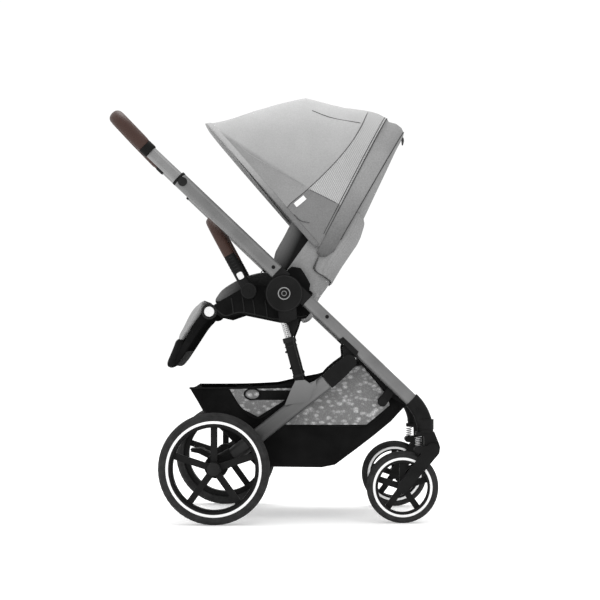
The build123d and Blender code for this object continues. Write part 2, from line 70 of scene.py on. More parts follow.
class Shader:
    """One node material, with short ways to add the nodes that most of them share."""

    def __init__(self, name, rough=0.6, metal=0.0, sheen=0.0, specular=0.5):
        self.material = bpy.data.materials.new(name)
        self.material.use_nodes = True
        self.tree = self.material.node_tree
        self.main = self.tree.nodes["Principled BSDF"]
        self.main.inputs["Roughness"].default_value = rough
        self.main.inputs["Metallic"].default_value = metal
        self.main.inputs["Specular IOR Level"].default_value = specular
        if sheen:
            self.main.inputs["Sheen Weight"].default_value = sheen
            self.main.inputs["Sheen Roughness"].default_value = 0.5
        self.place = self.add("ShaderNodeTexCoord").outputs["Object"]

    def add(self, kind, **inputs):
        node = self.tree.nodes.new(kind)
        for key, value in inputs.items():
            self.set(node.inputs[key.replace("_", " ")], value)
        return node

    def set(self, socket, value):
        if isinstance(value, bpy.types.NodeSocket):
            self.tree.links.new(value, socket)
        else:
            socket.default_value = value

    def noise(self, scale, detail=3.0, rough=0.55, vector=None):
        node = self.add("ShaderNodeTexNoise", Scale=scale, Detail=detail, Roughness=rough)
        self.tree.links.new(vector or self.place, node.inputs["Vector"])
        return node.outputs["Fac"]

    def wave(self, scale, axis="X", vector=None, distortion=0.0, profile="SIN"):
        node = self.add("ShaderNodeTexWave", Scale=scale, Distortion=distortion)
        node.bands_direction = axis
        node.wave_profile = profile
        self.tree.links.new(vector or self.place, node.inputs["Vector"])
        return node.outputs["Fac"]

    def voronoi(self, scale, vector=None, feature="DISTANCE_TO_EDGE"):
        node = self.add("ShaderNodeTexVoronoi", Scale=scale)
        node.feature = feature
        self.tree.links.new(vector or self.place, node.inputs["Vector"])
        return node.outputs["Distance"]

    def math(self, operation, a, b=0.0, clamp=False):
        node = self.add("ShaderNodeMath")
        node.operation = operation
        node.use_clamp = clamp
        self.set(node.inputs[0], a)
        self.set(node.inputs[1], b)
        return node.outputs[0]

    def ramp(self, value, low, high, from_low=0.35, from_high=0.65):
        """Two colours, mixed as a value goes from one number to the other."""
        node = self.add("ShaderNodeValToRGB")
        self.tree.links.new(value, node.inputs["Fac"])
        node.color_ramp.elements[0].position = from_low
        node.color_ramp.elements[1].position = from_high
        node.color_ramp.elements[0].color = (*low, 1)
        node.color_ramp.elements[1].color = (*high, 1)
        return node.outputs["Color"]

    def blend(self, share, a, b):
        node = self.add("ShaderNodeMix")
        node.data_type = "RGBA"
        for socket, value in ((node.inputs[0], share), (node.inputs[6], a), (node.inputs[7], b)):
            if isinstance(value, tuple) and len(value) == 3:
                value = (*value, 1)
            self.set(socket, value)
        return node.outputs[2]

    def stretch(self, x, y, z, turn=(0, 0, 0)):
        node = self.add("ShaderNodeMapping")
        node.inputs["Scale"].default_value = (x, y, z)
        node.inputs["Rotation"].default_value = [radians(a) for a in turn]
        self.tree.links.new(self.place, node.inputs["Vector"])
        return node.outputs["Vector"]

    def finish(self, colour, height=None, depth=0.0005, strength=1.0, rough=None):
        self.tree.links.new(colour, self.main.inputs["Base Color"])
        if rough is not None:
            self.tree.links.new(rough, self.main.inputs["Roughness"])
        if height is not None:
            bump = self.add("ShaderNodeBump", Strength=strength, Distance=depth, Height=height)
            self.tree.links.new(bump.outputs["Normal"], self.main.inputs["Normal"])
        return self.material


def grey(value, warm=0.0):
    return (value * (1 + warm), value, value * (1 - warm))


def rough_range(shader, low, high, scale):
    """Roughness that wanders between two values over the surface."""
    span = shader.math("MULTIPLY", shader.noise(scale, 4), high - low)
    return shader.math("ADD", span, low)


def metal(name, dark, light, rough=0.32, metallic=0.85, brushed=(1, 1, 1)):
    s = Shader(name, metal=metallic)
    grain = s.noise(900, 2, vector=s.stretch(*brushed))
    cloud = s.noise(14, 4)
    colour = s.ramp(cloud, dark, light, 0.3, 0.7)
    return s.finish(colour, grain, 0.00002, 0.3, rough_range(s, rough, rough + 0.12, 60))


def plastic(name, dark, light, rough=0.45, grain=1400, depth=0.00012, specular=0.09):
    s = Shader(name, specular=specular)
    pits = s.noise(grain, 2)
    wear = s.noise(22, 5, 0.6)
    return s.finish(s.ramp(wear, dark, light, 0.3, 0.75), pits, depth, 0.8, rough_range(s, rough, rough + 0.16, 40))


def woven(name, dark, light, pitch=0.0011, melange=260, bump=0.0006, sheen=0.0):
    """Plain woven melange cloth: two crossing threads, flecks and a slow change of tone."""
    s = Shader(name, rough=0.9, sheen=sheen, specular=0.08)
    turns = 1 / (pitch * 2 * pi) * 0.62
    warp = s.wave(turns, "X", s.stretch(1, 1, 1, (0, 27, 0)), 0.6)
    weft = s.wave(turns, "Z", s.stretch(1, 1, 1, (0, 27, 0)), 0.6)
    side = s.wave(turns, "Y", distortion=0.6)
    threads = s.math("MULTIPLY", s.math("ADD", s.math("ADD", warp, weft), side), 0.33)
    fleck = s.noise(melange, 5, 0.7)
    cloud = s.noise(9, 3)
    tone = s.math("ADD", s.math("MULTIPLY", fleck, 0.7), s.math("MULTIPLY", cloud, 0.3))
    tone = s.math("ADD", tone, s.math("MULTIPLY", s.math("SUBTRACT", threads, 0.5), 0.25))
    return s.finish(s.ramp(tone, dark, light, 0.36, 0.66), s.math("ADD", threads, fleck), bump, 0.7)


def leather(name, dark, light, rough=0.42):
    s = Shader(name, rough=rough, specular=0.3)
    cells = s.voronoi(420)
    small = s.voronoi(950)
    pores = s.math("ADD", s.math("MULTIPLY", cells, 0.7), s.math("MULTIPLY", small, 0.3))
    cloud = s.noise(24, 5)
    colour = s.blend(s.math("MULTIPLY", pores, 1.2, True), dark, s.ramp(cloud, dark, light, 0.3, 0.7))
    return s.finish(colour, pores, 0.0009, 0.8, rough_range(s, rough - 0.06, rough + 0.14, 50))


def rubber(name, dark, light):
    s = Shader(name, rough=0.75, specular=0.12)
    dust = s.noise(45, 6, 0.65)
    fine = s.noise(1100, 2)
    return s.finish(s.ramp(dust, dark, light, 0.35, 0.75), fine, 0.0002, 0.7, rough_range(s, 0.62, 0.85, 30))


def graded(name, dark, light, low, high):
    """Brushed metal that gets lighter from one height to another."""
    s = Shader(name, rough=0.4, metal=0.6)
    z = s.add("ShaderNodeSeparateXYZ", Vector=s.place).outputs["Z"]
    share = s.math("MULTIPLY", s.math("SUBTRACT", z, low), 1 / (high - low), True)
    cloud = s.ramp(s.noise(14, 4), grey(0.93), grey(1.0), 0.3, 0.7)
    tint = s.blend(share, dark, light)
    mix = s.add("ShaderNodeVectorMath")
    mix.operation = "MULTIPLY"
    s.set(mix.inputs[0], tint)
    s.set(mix.inputs[1], cloud)
    return s.finish(mix.outputs[0], s.noise(900, 2), 0.00002, 0.3, rough_range(s, 0.36, 0.48, 60))


def binding(name, upper, lower, low, high):
    """Flat smooth braid that gets darker towards its lower ends."""
    s = Shader(name, rough=0.95, specular=0.02)
    z = s.add("ShaderNodeSeparateXYZ", Vector=s.place).outputs["Z"]
    share = s.math("MULTIPLY", s.math("SUBTRACT", z, low), 1 / (high - low), True)
    fleck = s.noise(300, 4, 0.6)
    top = s.ramp(fleck, grey(upper * 0.9), grey(upper * 1.1), 0.36, 0.66)
    deep = s.ramp(fleck, grey(lower * 0.88), grey(lower * 1.12), 0.36, 0.66)
    return s.finish(s.blend(share, deep, top), fleck, 0.0002, 0.3)


def knitted(name, thread, gap, pale):
    """Open knitted mesh seen over the white that shows through it in soft patches."""
    s = Shader(name, rough=0.85, sheen=0.2, specular=0.2)
    cells = s.voronoi(330, s.stretch(1, 1, 0.8), "F1")
    holes = s.math("GREATER_THAN", cells, 0.42)
    patch = s.noise(34, 2, 0.4, s.stretch(1, 1, 1.25))
    net = s.ramp(patch, thread, pale, 0.50, 0.70)
    return s.finish(s.blend(holes, net, s.blend(0.55, net, gap)), cells, 0.0010, 0.8)


MAT = {
    "tube": metal("titanium_anodised", grey(0.135), grey(0.175), 0.36, 0.6, (0.2, 1, 0.2)),
    "tube_dark": metal("titanium_dark", grey(0.05), grey(0.075), 0.36, 0.6, (0.2, 1, 0.2)),
    "tube_light": metal("telescope_tube", grey(0.20), grey(0.26), 0.34, 0.7, (0.2, 1, 0.2)),
    "bright": metal("bright_steel", grey(0.55), grey(0.68), 0.25, 0.95),
    "plastic": plastic("black_moulded", grey(0.005), grey(0.010), 0.48),
    "plastic_soft": plastic("black_soft_touch", grey(0.012), grey(0.02), 0.62),
    "rim": plastic("rim_black", grey(0.006), grey(0.012), 0.5),
    "button": plastic("button_light", grey(0.66), grey(0.76), 0.5),
    "white": plastic("reflective_white", grey(0.80), grey(0.9), 0.4, specular=0.5),
    "tyre": rubber("tyre_rubber", grey(0.016), grey(0.034)),
    "leather": leather("brown_leather", (0.036, 0.015, 0.010), (0.078, 0.034, 0.026)),
    "leg": graded("leg_anodised", grey(0.022), grey(0.165), 0.20, 0.37),
    "matte": plastic("black_matte", grey(0.006), grey(0.011), 0.8, specular=0.0),
    "thread": plastic("brown_thread", (0.045, 0.024, 0.018), (0.07, 0.04, 0.03), 0.7),
    "light": woven("melange_light", grey(0.27), grey(0.37)),
    "side": woven("melange_side", grey(0.20), grey(0.29)),
    "dark": woven("melange_dark", grey(0.055), grey(0.11)),
    "black_cloth": woven("black_cloth", grey(0.004), grey(0.010), 0.0008, 300, 0.0003),
    "mesh": knitted("basket_knit", grey(0.20), grey(0.10), grey(0.50)),
    "seam": plastic("seam_thread", grey(0.045), grey(0.075), 0.8),
    "edge": binding("edge_binding", 0.36, 0.16, 0.82, 0.96),
    "pale": binding("pale_lining", 0.38, 0.26, 0.86, 1.02),
    "webbing": woven("harness_webbing", grey(0.02), grey(0.045), 0.0014, 200, 0.0008),
    "label": plastic("label_white", grey(0.80), grey(0.88), 0.7),
}
SLOT_MATERIAL = {
    "tube_metal": "tube", "bright_metal": "bright", "black_plastic": "plastic", "button_grey": "button",
    "brown_leather": "leather", "tyre_rubber": "tyre", "light_fabric": "light", "dark_fabric": "dark",
    "basket_mesh": "mesh",
}
for part in frame["record"]["subparts"]:
    node = NODES[part["node"]]
    chosen = MAT[SLOT_MATERIAL[part["material_slot"]]]
    for word, name in (("rim", "rim"), ("rear_leg", "leg"), ("handle_tube", "tube_light"), ("cross_tube", "plastic"),
                       ("rear_axle", "tube_dark"), ("height_button", "plastic_soft"), ("seat_shell", "matte")):
        if word in part["node"]:
            chosen = MAT[name]
    node.data.materials.clear()
    node.data.materials.append(chosen)

# --- building helpers ----------------------------------------------------------------


def new_piece(name, points, faces, material, body=None, slot=None, smooth=True, subdiv=0, thick=0.0):
    """A mesh piece from points in millimetres."""
    mesh = bpy.data.meshes.new(name)
    mesh.from_pydata([tuple(c / 1000 for c in p) for p in points], [], faces)
    mesh.validate()
    obj = bpy.data.objects.new(name, mesh)
    bpy.context.scene.collection.objects.link(obj)
    for m in material if isinstance(material, (list, tuple)) else [material]:
        mesh.materials.append(MAT[m])
    bm = bmesh.new()
    bm.from_mesh(mesh)
    bmesh.ops.remove_doubles(bm, verts=bm.verts, dist=2e-6)
    bmesh.ops.recalc_face_normals(bm, faces=bm.faces)
    bm.to_mesh(mesh)
    bm.free()
    mesh.polygons.foreach_set("use_smooth", [smooth] * len(mesh.polygons))
    if thick:
        solid = obj.modifiers.new("thick", "SOLIDIFY")
        solid.thickness = thick / 1000
        solid.offset = 0
        apply(obj)
    if subdiv:
        obj.modifiers.new("sub", "SUBSURF").levels = subdiv
        obj.modifiers["sub"].render_levels = subdiv
        apply(obj)
    if body:
        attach(obj, body)
    return obj


def apply(obj):
    """Turns the piece's modifiers into its mesh."""
    graph = bpy.context.evaluated_depsgraph_get()
    mesh = bpy.data.meshes.new_from_object(obj.evaluated_get(graph))
    obj.modifiers.clear()
    obj.data = mesh


def grid_faces(rows, cols, close_rows=False, close_cols=False, cap=False):
    faces = []
    for i in range(rows if close_rows else rows - 1):
        for j in range(cols if close_cols else cols - 1):
            a, b = i * cols + j, i * cols + (j + 1) % cols
            k = (i + 1) % rows
            faces.append((a, b, k * cols + (j + 1) % cols, k * cols + j))
    if cap:
        faces.append(tuple(range(cols)))
        faces.append(tuple((rows - 1) * cols + j for j in range(cols)))
    return faces


def grid_piece(name, rows, material, close_cols=False, cap=False, close_rows=False, **more):
    points = [p for row in rows for p in row]
    faces = grid_faces(len(rows), len(rows[0]), close_rows, close_cols, cap)
    return new_piece(name, points, faces, material, **more)


def smooth_path(points, step=6.0, closed=False):
    """A Catmull-Rom line through points, sampled about every step millimetres."""
    pts = [np.array(p, float) for p in points]
    if closed:
        pts = [pts[-1]] + pts + pts[:2]
    else:
        pts = [2 * pts[0] - pts[1]] + pts + [2 * pts[-1] - pts[-2]]
    out = []
    for i in range(1, len(pts) - 2):
        p0, p1, p2, p3 = pts[i - 1 : i + 3]
        n = max(2, int(np.linalg.norm(p2 - p1) / step))
        for k in range(n):
            t = k / n
            out.append(0.5 * (2 * p1 + (p2 - p0) * t + (2 * p0 - 5 * p1 + 4 * p2 - p3) * t * t
                              + (3 * p1 - p0 - 3 * p2 + p3) * t ** 3))
    if not closed:
        out.append(pts[-2])
    return out


def sweep_rows(path, section, up=(0, 1, 0), closed=False):
    """Sections set across a path; section(i, share) gives (across, up) offsets."""
    rows, n = [], len(path)
    up = np.array(up, float)
    for i, p in enumerate(path):
        a = path[(i - 1) % n] if closed or i else path[0]
        b = path[(i + 1) % n] if closed or i < n - 1 else path[-1]
        ahead = np.array(b) - np.array(a)
        ahead /= np.linalg.norm(ahead)
        high = up - ahead * float(up @ ahead)
        if np.linalg.norm(high) < 0.05:
            high = np.array((0, 0, 1.0)) - ahead * ahead[2]
        high /= np.linalg.norm(high)
        across = np.cross(high, ahead)
        rows.append([tuple(np.array(p) + across * u + high * v) for u, v in section(i, i / max(1, n - 1))])
    return rows


def ring_section(rx, ry=None, sides=16, power=2.0):
    ry = rx if ry is None else ry
    out = []
    for k in range(sides):
        c, s = cos(2 * pi * k / sides), sin(2 * pi * k / sides)
        out.append((rx * abs(c) ** (2 / power) * (1 if c > 0 else -1), ry * abs(s) ** (2 / power) * (1 if s > 0 else -1)))
    return out


def tube_piece(name, points, rx, material, ry=None, sides=14, up=(0, 1, 0), closed=False, step=6.0, power=2.0,
               smooth_line=True, taper=None, **more):
    path = smooth_path(points, step, closed) if smooth_line else [np.array(p, float) for p in points]

    def section(i, share):
        k = taper(share) if taper else 1.0
        return [(u * k, v * k) for u, v in ring_section(rx, ry, sides, power)]

    rows = sweep_rows(path, section, up, closed)
    return grid_piece(name, rows, material, close_cols=True, cap=not closed, close_rows=closed, **more)


def plate_piece(name, outline, y_lo, y_hi, material, bevel=2.0, step=0, **more):
    """A side-view outline between two planes across the stroller, its rim rounded."""
    line = smooth_path([(x, 0, z) for x, z in outline], step, True) if step else [(x, 0, z) for x, z in outline]
    centre = np.mean([(p[0], p[2]) for p in line], axis=0)
    flat = [(p[0], p[2]) for p in line]
    n = len(flat)

    def inset(amount):
        out = []
        for i, p in enumerate(flat):
            a, b = np.array(flat[i - 1]), np.array(flat[(i + 1) % n])
            t = (b - a) / max(1e-6, np.linalg.norm(b - a))
            normal = np.array((-t[1], t[0])) * turn
            out.append(np.array(p) + normal * amount)
        return out

    area = sum(flat[i][0] * flat[(i + 1) % n][1] - flat[(i + 1) % n][0] * flat[i][1] for i in range(n))
    turn = 1 if area > 0 else -1
    mid = (y_lo + y_hi) / 2
    half = abs(y_hi - y_lo) / 2
    rows = []
    steps = [(bevel, half), (bevel * 0.3, half - bevel * 0.3), (0, half - bevel), (0, -half + bevel),
             (bevel * 0.3, -half + bevel * 0.3), (bevel, -half)]
    for amount, y in steps:
        rows.append([(q[0], mid + y, q[1]) for q in inset(amount)])
    return grid_piece(name, rows, material, close_cols=True, cap=True, **more)


def disc_piece(name, centre, profile, y, side, material, sides=48, **more):
    """A turned piece on an axis across the stroller; profile is (radius, distance outwards) from the middle out."""
    rows = []
    for r, out in profile:
        rows.append([(centre[0] + r * cos(2 * pi * k / sides), side * (y + out), centre[1] + r * sin(2 * pi * k / sides))
                     for k in range(sides)])
    return grid_piece(name, rows, material, close_cols=True, cap=True, **more)


def ring_piece(name, centre, profile, y, side, material, sides=96, **more):
    """A ring on an axis across the stroller; profile is a closed loop of (radius, distance outwards)."""
    rows = []
    for r, out in profile:
        rows.append([(centre[0] + r * cos(2 * pi * k / sides), side * (y + out), centre[1] + r * sin(2 * pi * k / sides))
                     for k in range(sides)])
    return grid_piece(name, rows, material, close_cols=True, close_rows=True, **more)


def flip_y(points, side):
    return [(p[0], p[1] * side, p[2]) for p in points]


def interp(x, table):
    xs, ys = [a for a, _ in table], [b for _, b in table]
    if xs[0] > xs[-1]:
        xs, ys = xs[::-1], ys[::-1]
    return float(np.interp(x, xs, ys))


def puffed(obj, cap=0.009, voxel=0.006, pressure=4.0, frames=20):
    """Fills a closed piece like a cushion: a pressure simulation whose result becomes the mesh."""
    remesh = obj.modifiers.new("remesh", "REMESH")
    remesh.mode = "VOXEL"
    remesh.voxel_size = voxel
    apply(obj)
    before = np.array([v.co for v in obj.data.vertices])
    cloth = obj.modifiers.new("cloth", "CLOTH")
    cloth.settings.use_pressure = True
    cloth.settings.uniform_pressure_force = pressure
    cloth.settings.effector_weights.gravity = 0
    cloth.settings.quality = 5
    cloth.point_cache.frame_start, cloth.point_cache.frame_end = 1, frames
    for n in range(1, frames + 1):
        bpy.context.scene.frame_set(n)
    apply(obj)
    bpy.context.scene.frame_set(1)
    after = np.array([v.co for v in obj.data.vertices])
    move = after - before
    length = np.linalg.norm(move, axis=1, keepdims=True)
    move *= np.minimum(1.0, cap / np.maximum(length, 1e-9))
    obj.data.vertices.foreach_set("co", (before + move).ravel())
    smooth = obj.modifiers.new("smooth", "SMOOTH")
    smooth.factor = 0.5
    smooth.iterations = 4
    sub = obj.modifiers.new("sub", "SUBSURF")
    sub.levels = sub.render_levels = 1
    apply(obj)
    obj.data.polygons.foreach_set("use_smooth", [True] * len(obj.data.polygons))
    return obj


# --- canopy --------------------------------------------------------------------------
# How far the fabric reaches from the canopy pivot at each angle above level.
REACH = [(131.0, 466), (129.1, 456), (125.5, 443), (122.0, 435), (116, 427), (110.8, 423.5), (104, 422.5),
         (99.4, 424.5), (94.4, 428), (89.5, 417.5), (84.9, 409.5), (79.2, 406), (74.1, 409.5), (70.5, 413.5),
         (66.5, 417), (62.8, 415)]
FRONT_ANGLE, MID_ANGLE, ZIP_ANGLE = 131.0, 94.4, 62.8
CANOPY_HALF = 204.0
SIDE_REACH = [(131, 466), (126, 449), (118, 434), (110, 427), (100, 422), (90, 417), (80, 413), (70, 413), (62.8, 415)]
ARCH_POINTS = 85
SEAM_LINE = [(735, -20), (822, 29), (840, 44), (876, 87), (913, 126), (954, 165), (1002, 203), (1050, 231),
             (1105, 252)]


def arch(origin, angle, reach, half, power, root, points=ARCH_POINTS, low_reach=None):
    """A soft arch over the seat, evenly divided, from the right root to the left one."""
    lean = radians(angle)
    fine = []
    for k in range(721):
        t = pi * k / 720
        c, s = cos(t), sin(t)
        far = reach if low_reach is None else low_reach + (reach - low_reach) * abs(s) ** 4
        r = root + (far - root) * abs(s) ** (2 / power)
        tuck = 1 - 0.035 * max(0.0, 1 - (r - root) / 130) ** 2
        y = -half * abs(c) ** (2 / power) * (1 if c > 0 else -1) * tuck
        fine.append((origin[0] + r * cos(lean), y, origin[1] + r * sin(lean)))
    fine = np.array(fine)
    run = np.concatenate([[0], np.cumsum(np.linalg.norm(np.diff(fine, axis=0), axis=1))])
    even = np.linspace(0, run[-1], points)
    return np.stack([np.interp(even, run, fine[:, i]) for i in range(3)], axis=1)


def canopy_power(angle):
    return interp(angle, [(131, 4.2), (122, 3.7), (110, 3.3), (94.4, 3.0), (62.8, 3.1)])


def canopy_arch(angle, points=ARCH_POINTS):
    return arch((PIVOT[0], PIVOT[2]), angle, interp(angle, REACH), CANOPY_HALF, canopy_power(angle), 10, points,
                interp(angle, SIDE_REACH))


def settle(rows, depth, seed):
    """Small slack waves in stretched cloth, none at its edges."""
    from mathutils import noise
    n = len(rows)
    out = []
    for i, row in enumerate(rows):
        share = sin(pi * i / (n - 1)) ** 0.5
        new = []
        for j, p in enumerate(row):
            v = Vector((p[0] / 70, p[1] / 55, p[2] / 70 + seed))
            away = Vector((p[0] - PIVOT[0], 0.6 * p[1], p[2] - PIVOT[2])).normalized()
            d = noise.noise(v) * depth * share * min(1.0, j / 6, (len(row) - 1 - j) / 6)
            new.append((p[0] + away[0] * d, p[1] + away[1] * d, p[2] + away[2] * d))
        out.append(new)
    return out


def canopy_cloth():
    """Light grey top cloth with painted light that brightens it towards the top and painted shade below the fold line,
    the perforated vent behind the side seam and the darker corner below it.
    """
    s = Shader("canopy_cloth", rough=0.92, specular=0.08)
    axes = s.add("ShaderNodeSeparateXYZ", Vector=s.place).outputs
    x, z = axes["X"], axes["Z"]
    low, high, wide = 0.72, 1.12, 0.30
    curve = s.add("ShaderNodeFloatCurve")
    line = curve.mapping.curves[0]
    marks = [((zz / 1000 - low) / (high - low), (xx / 1000 + 0.03) / wide) for zz, xx in SEAM_LINE]
    line.points[0].location, line.points[1].location = marks[0], marks[-1]
    for m in marks[1:-1]:
        line.points.new(*m)
    curve.mapping.update()
    s.set(curve.inputs["Value"], s.math("MULTIPLY", s.math("SUBTRACT", z, low), 1 / (high - low)))
    seam_x = s.math("SUBTRACT", s.math("MULTIPLY", curve.outputs[0], wide), 0.03)
    behind = s.math("GREATER_THAN", x, seam_x)
    floor_z = s.math("SUBTRACT", 0.9218, s.math("MULTIPLY", x, 0.493))
    vent = s.math("MULTIPLY", behind, s.math("GREATER_THAN", z, floor_z))
    corner = s.math("MULTIPLY", behind, s.math("LESS_THAN", z, floor_z))
    thread = s.math("ADD", s.wave(520, "X", distortion=0.8), s.wave(520, "Z", distortion=0.8))
    thread = s.math("MULTIPLY", s.math("ADD", thread, s.wave(520, "Y", distortion=0.8)), 0.33)
    fleck = s.noise(330, 5, 0.7)
    cloud = s.noise(8, 3)
    tone = s.math("ADD", s.math("MULTIPLY", fleck, 0.65), s.math("MULTIPLY", cloud, 0.35))
    # Painted light: above z 0.90 m the cloth is blended to a lighter grey, as if the canopy's top were lit from above.
    lift = s.math("MULTIPLY", s.math("SUBTRACT", z, 0.90), 4.2, True)
    cloth = s.blend(lift, s.ramp(tone, grey(0.29), grey(0.37), 0.36, 0.66), s.ramp(tone, grey(0.42), grey(0.53), 0.36, 0.66))
    # Painted shade: below a sloping line from the visor tip down to the side seam, the cloth is blended to a darker
    # grey, the side panel's shade under the fold.
    under = s.math("SUBTRACT", s.math("SUBTRACT", 0.9400, s.math("MULTIPLY", x, 0.656)), z)
    fold = s.math("MULTIPLY", s.math("ADD", under, 0.004), 90, True)
    cloth = s.blend(fold, cloth, s.ramp(tone, grey(0.235), grey(0.31), 0.36, 0.66))
    corner_cloth = s.ramp(tone, grey(0.16), grey(0.23), 0.36, 0.66)
    hole_x = s.wave(66, "X", s.stretch(1, 1, 1, (0, 27, 0)))
    hole_z = s.wave(100, "Z", s.stretch(1, 1, 1, (0, 27, 0)))
    holes = s.math("GREATER_THAN", s.math("MULTIPLY", hole_x, hole_z), 0.42)
    vent_cloth = s.blend(holes, s.ramp(tone, grey(0.42), grey(0.52), 0.36, 0.66), grey(0.20))
    colour = s.blend(corner, s.blend(vent, cloth, vent_cloth), corner_cloth)
    height = s.math("SUBTRACT", s.math("ADD", thread, fleck), s.math("MULTIPLY", s.math("MULTIPLY", holes, vent), 0.8))
    return s.finish(colour, height, 0.0006, 0.7)




def strip_cloth():
    """The darker strip behind the zip, deeper towards its lower ends."""
    s = Shader("strip_cloth", rough=0.92, specular=0.06)
    z = s.add("ShaderNodeSeparateXYZ", Vector=s.place).outputs["Z"]
    fleck = s.noise(300, 5, 0.7)
    tone = s.math("ADD", s.math("MULTIPLY", fleck, 0.7), s.math("MULTIPLY", s.noise(9, 3), 0.3))
    upper = s.ramp(tone, grey(0.21), grey(0.30), 0.36, 0.66)
    lower = s.ramp(tone, grey(0.085), grey(0.13), 0.36, 0.66)
    share = s.math("MULTIPLY", s.math("SUBTRACT", z, 0.70), 5.5, True)
    return s.finish(s.blend(share, lower, upper), s.math("ADD", fleck, s.wave(300, "Y")), 0.0005, 0.6)


MAT["strip"] = strip_cloth()
MAT["canopy"] = canopy_cloth()
FRONT_START = Vector((PIVOT[0], 0, PIVOT[2])) / 1000


def across(angle, distance):
    """The point that lies a distance forwards of a bow's plane."""
    a = radians(angle)
    return tuple(FRONT_START + Vector((-sin(a), 0, cos(a))) * distance / 1000)


def blend_front(obj):
    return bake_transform(obj)


def blend_mid(obj):
    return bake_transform(obj)


front_angles = np.linspace(FRONT_ANGLE, MID_ANGLE, 34)
mid_angles = np.linspace(MID_ANGLE, ZIP_ANGLE, 30)
def join_shading(obj, rows, first, count):
    """Gives a solidified grid the normals of the larger surface that it is cut from."""
    grid = np.array(rows, float)
    normal = np.cross(np.gradient(grid, axis=0), np.gradient(grid, axis=1))
    normal /= np.maximum(np.linalg.norm(normal, axis=2, keepdims=True), 1e-9)
    part = normal[first:first + count].reshape(-1, 3)
    n, mesh = len(part), obj.data
    if len(mesh.vertices) != 2 * n:
        return
    place = np.array([v.co for v in mesh.vertices])
    outer = np.sign(((place[:n] - place[n:]) * part).sum(axis=1, keepdims=True))
    mesh.normals_split_custom_set_from_vertices(np.concatenate([part * outer, -part * outer]).tolist())


front_rows = settle([canopy_arch(a) for a in front_angles], 2.4, 3)
mid_rows = settle([canopy_arch(a) for a in mid_angles], 2.0, 9)
front_panel = grid_piece("canopy_front_panel", front_rows, "canopy", thick=1.4, slot="light_fabric")
mid_panel = grid_piece("canopy_vent_panel", mid_rows, "canopy", thick=1.4, slot="light_fabric")
both = front_rows + mid_rows[1:]
join_shading(front_panel, both, 0, len(front_rows))
join_shading(mid_panel, both, len(front_rows) - 1, len(mid_rows))
blend_front(front_panel)
blend_mid(mid_panel)
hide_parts("canopy_front")
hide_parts("canopy_mid")


def rear_arch(share):
    origin = (PIVOT[0] + (150 - PIVOT[0]) * share, PIVOT[2] - 16 * share)
    angle = ZIP_ANGLE - 2.8 * share
    reach = interp(share, [(0, 415), (0.15, 409), (0.5, 413), (0.8, 409), (1, 400)])
    root = interp(share, [(0, -8), (0.35, -14), (0.7, -8), (1, 14)])
    half = interp(share, [(0, CANOPY_HALF), (0.25, CANOPY_HALF + 1.5), (0.7, CANOPY_HALF), (1, 198)])
    return arch(origin, angle, reach, half, 3.1 + 0.2 * share, root)


rear_rows = [rear_arch(s) for s in np.linspace(0, 1, 16)]
rear_panel = grid_piece("canopy_rear_panel", rear_rows, "strip", thick=1.6,
                        body="backrest", slot="dark_fabric")
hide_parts("canopy_rear")


def outward(path, origin, distance):
    """A path moved off the canopy's surface."""
    out = []
    for p in path:
        away = np.array((p[0] - origin[0], 0.9 * p[1], p[2] - origin[1]))
        out.append(np.array(p) + away / np.linalg.norm(away) * distance)
    return out


def canopy_trim():
    origin = (PIVOT[0], PIVOT[2])
    # the binding along the front edge
    edge, behind = canopy_arch(FRONT_ANGLE), canopy_arch(FRONT_ANGLE - 3)
    for name, profile, material in (
        ("canopy_front_binding", ((0, -1.0), (-0.1, 0.4), (-0.04, 1.8), (0.3, 2.3), (0.85, 2.1), (0.95, 0.5)), "edge"),
        ("canopy_inner_binding", ((-0.1, 0.2), (-0.08, -1.4), (0.2, -2.4), (1.4, -2.6), (1.6, -1.0)), "pale"),
    ):
        rows = []
        for share, lift in profile:
            rows.append([a + (b - a) / max(np.linalg.norm(b - a), 1e-6) * 15 * share + (o - a) * lift
                         for a, b, o in zip(edge, behind, outward(edge, origin, 1))])
        blend_front(grid_piece(name, rows, material, thick=0.8, slot="light_fabric"))
    # the zip with its two tapes
    zip_line = canopy_arch(ZIP_ANGLE, 121)[4:-4]
    for name, shift, radius, mat in (("canopy_zip_teeth", 0.0, 1.3, "seam"), ("canopy_zip_tape", 6.0, 1.0, "seam")):
        moved = [p + np.array((-shift * sin(radians(ZIP_ANGLE)), 0, shift * cos(radians(ZIP_ANGLE)))) for p in zip_line]
        tube_piece(name, outward(moved, origin, 0.9), radius, mat, sides=8, smooth_line=False, body="backrest",
                   slot="dark_fabric")
    # the rear seam bead
    last = rear_arch(1.0)[3:-3]
    tube_piece("canopy_rear_bead", outward(last, (150, 700), 0.8), 1.5, "seam", sides=8, smooth_line=False,
               body="backrest", slot="dark_fabric")
    # bows inside
    for name, angle, body in (("bow_front", FRONT_ANGLE - 1.6, "canopy_front_bow"),
                              ("bow_middle", MID_ANGLE, "canopy_mid_bow"), ("bow_rear", ZIP_ANGLE, "backrest")):
        line = outward(canopy_arch(angle, 61)[2:-2], origin, -6)
        tube_piece(name, line, 2.2, "edge" if angle > 120 else "strip", sides=10, smooth_line=False, body=body,
                   slot="black_plastic")


canopy_trim()

# --- backrest ------------------------------------------------------------------------
# Front edge and back face of the seat back in the side view, from the bottom up.
BACK_STATIONS = [
    ((44, 650), (113, 588)), ((14, 670), (124, 606)), ((-5, 690), (141, 630)), ((0, 714), (158, 664)),
    ((22, 752), (180, 706)), ((45, 797), (206, 752)), ((82, 866), (235, 806)), ((132, 936), (270, 880)),
    ((190, 990), (304, 950)), ((250, 1022), (332, 1008)), ((290, 1040), (346, 1032)), ((304, 1049), (350.5, 1042)),
]
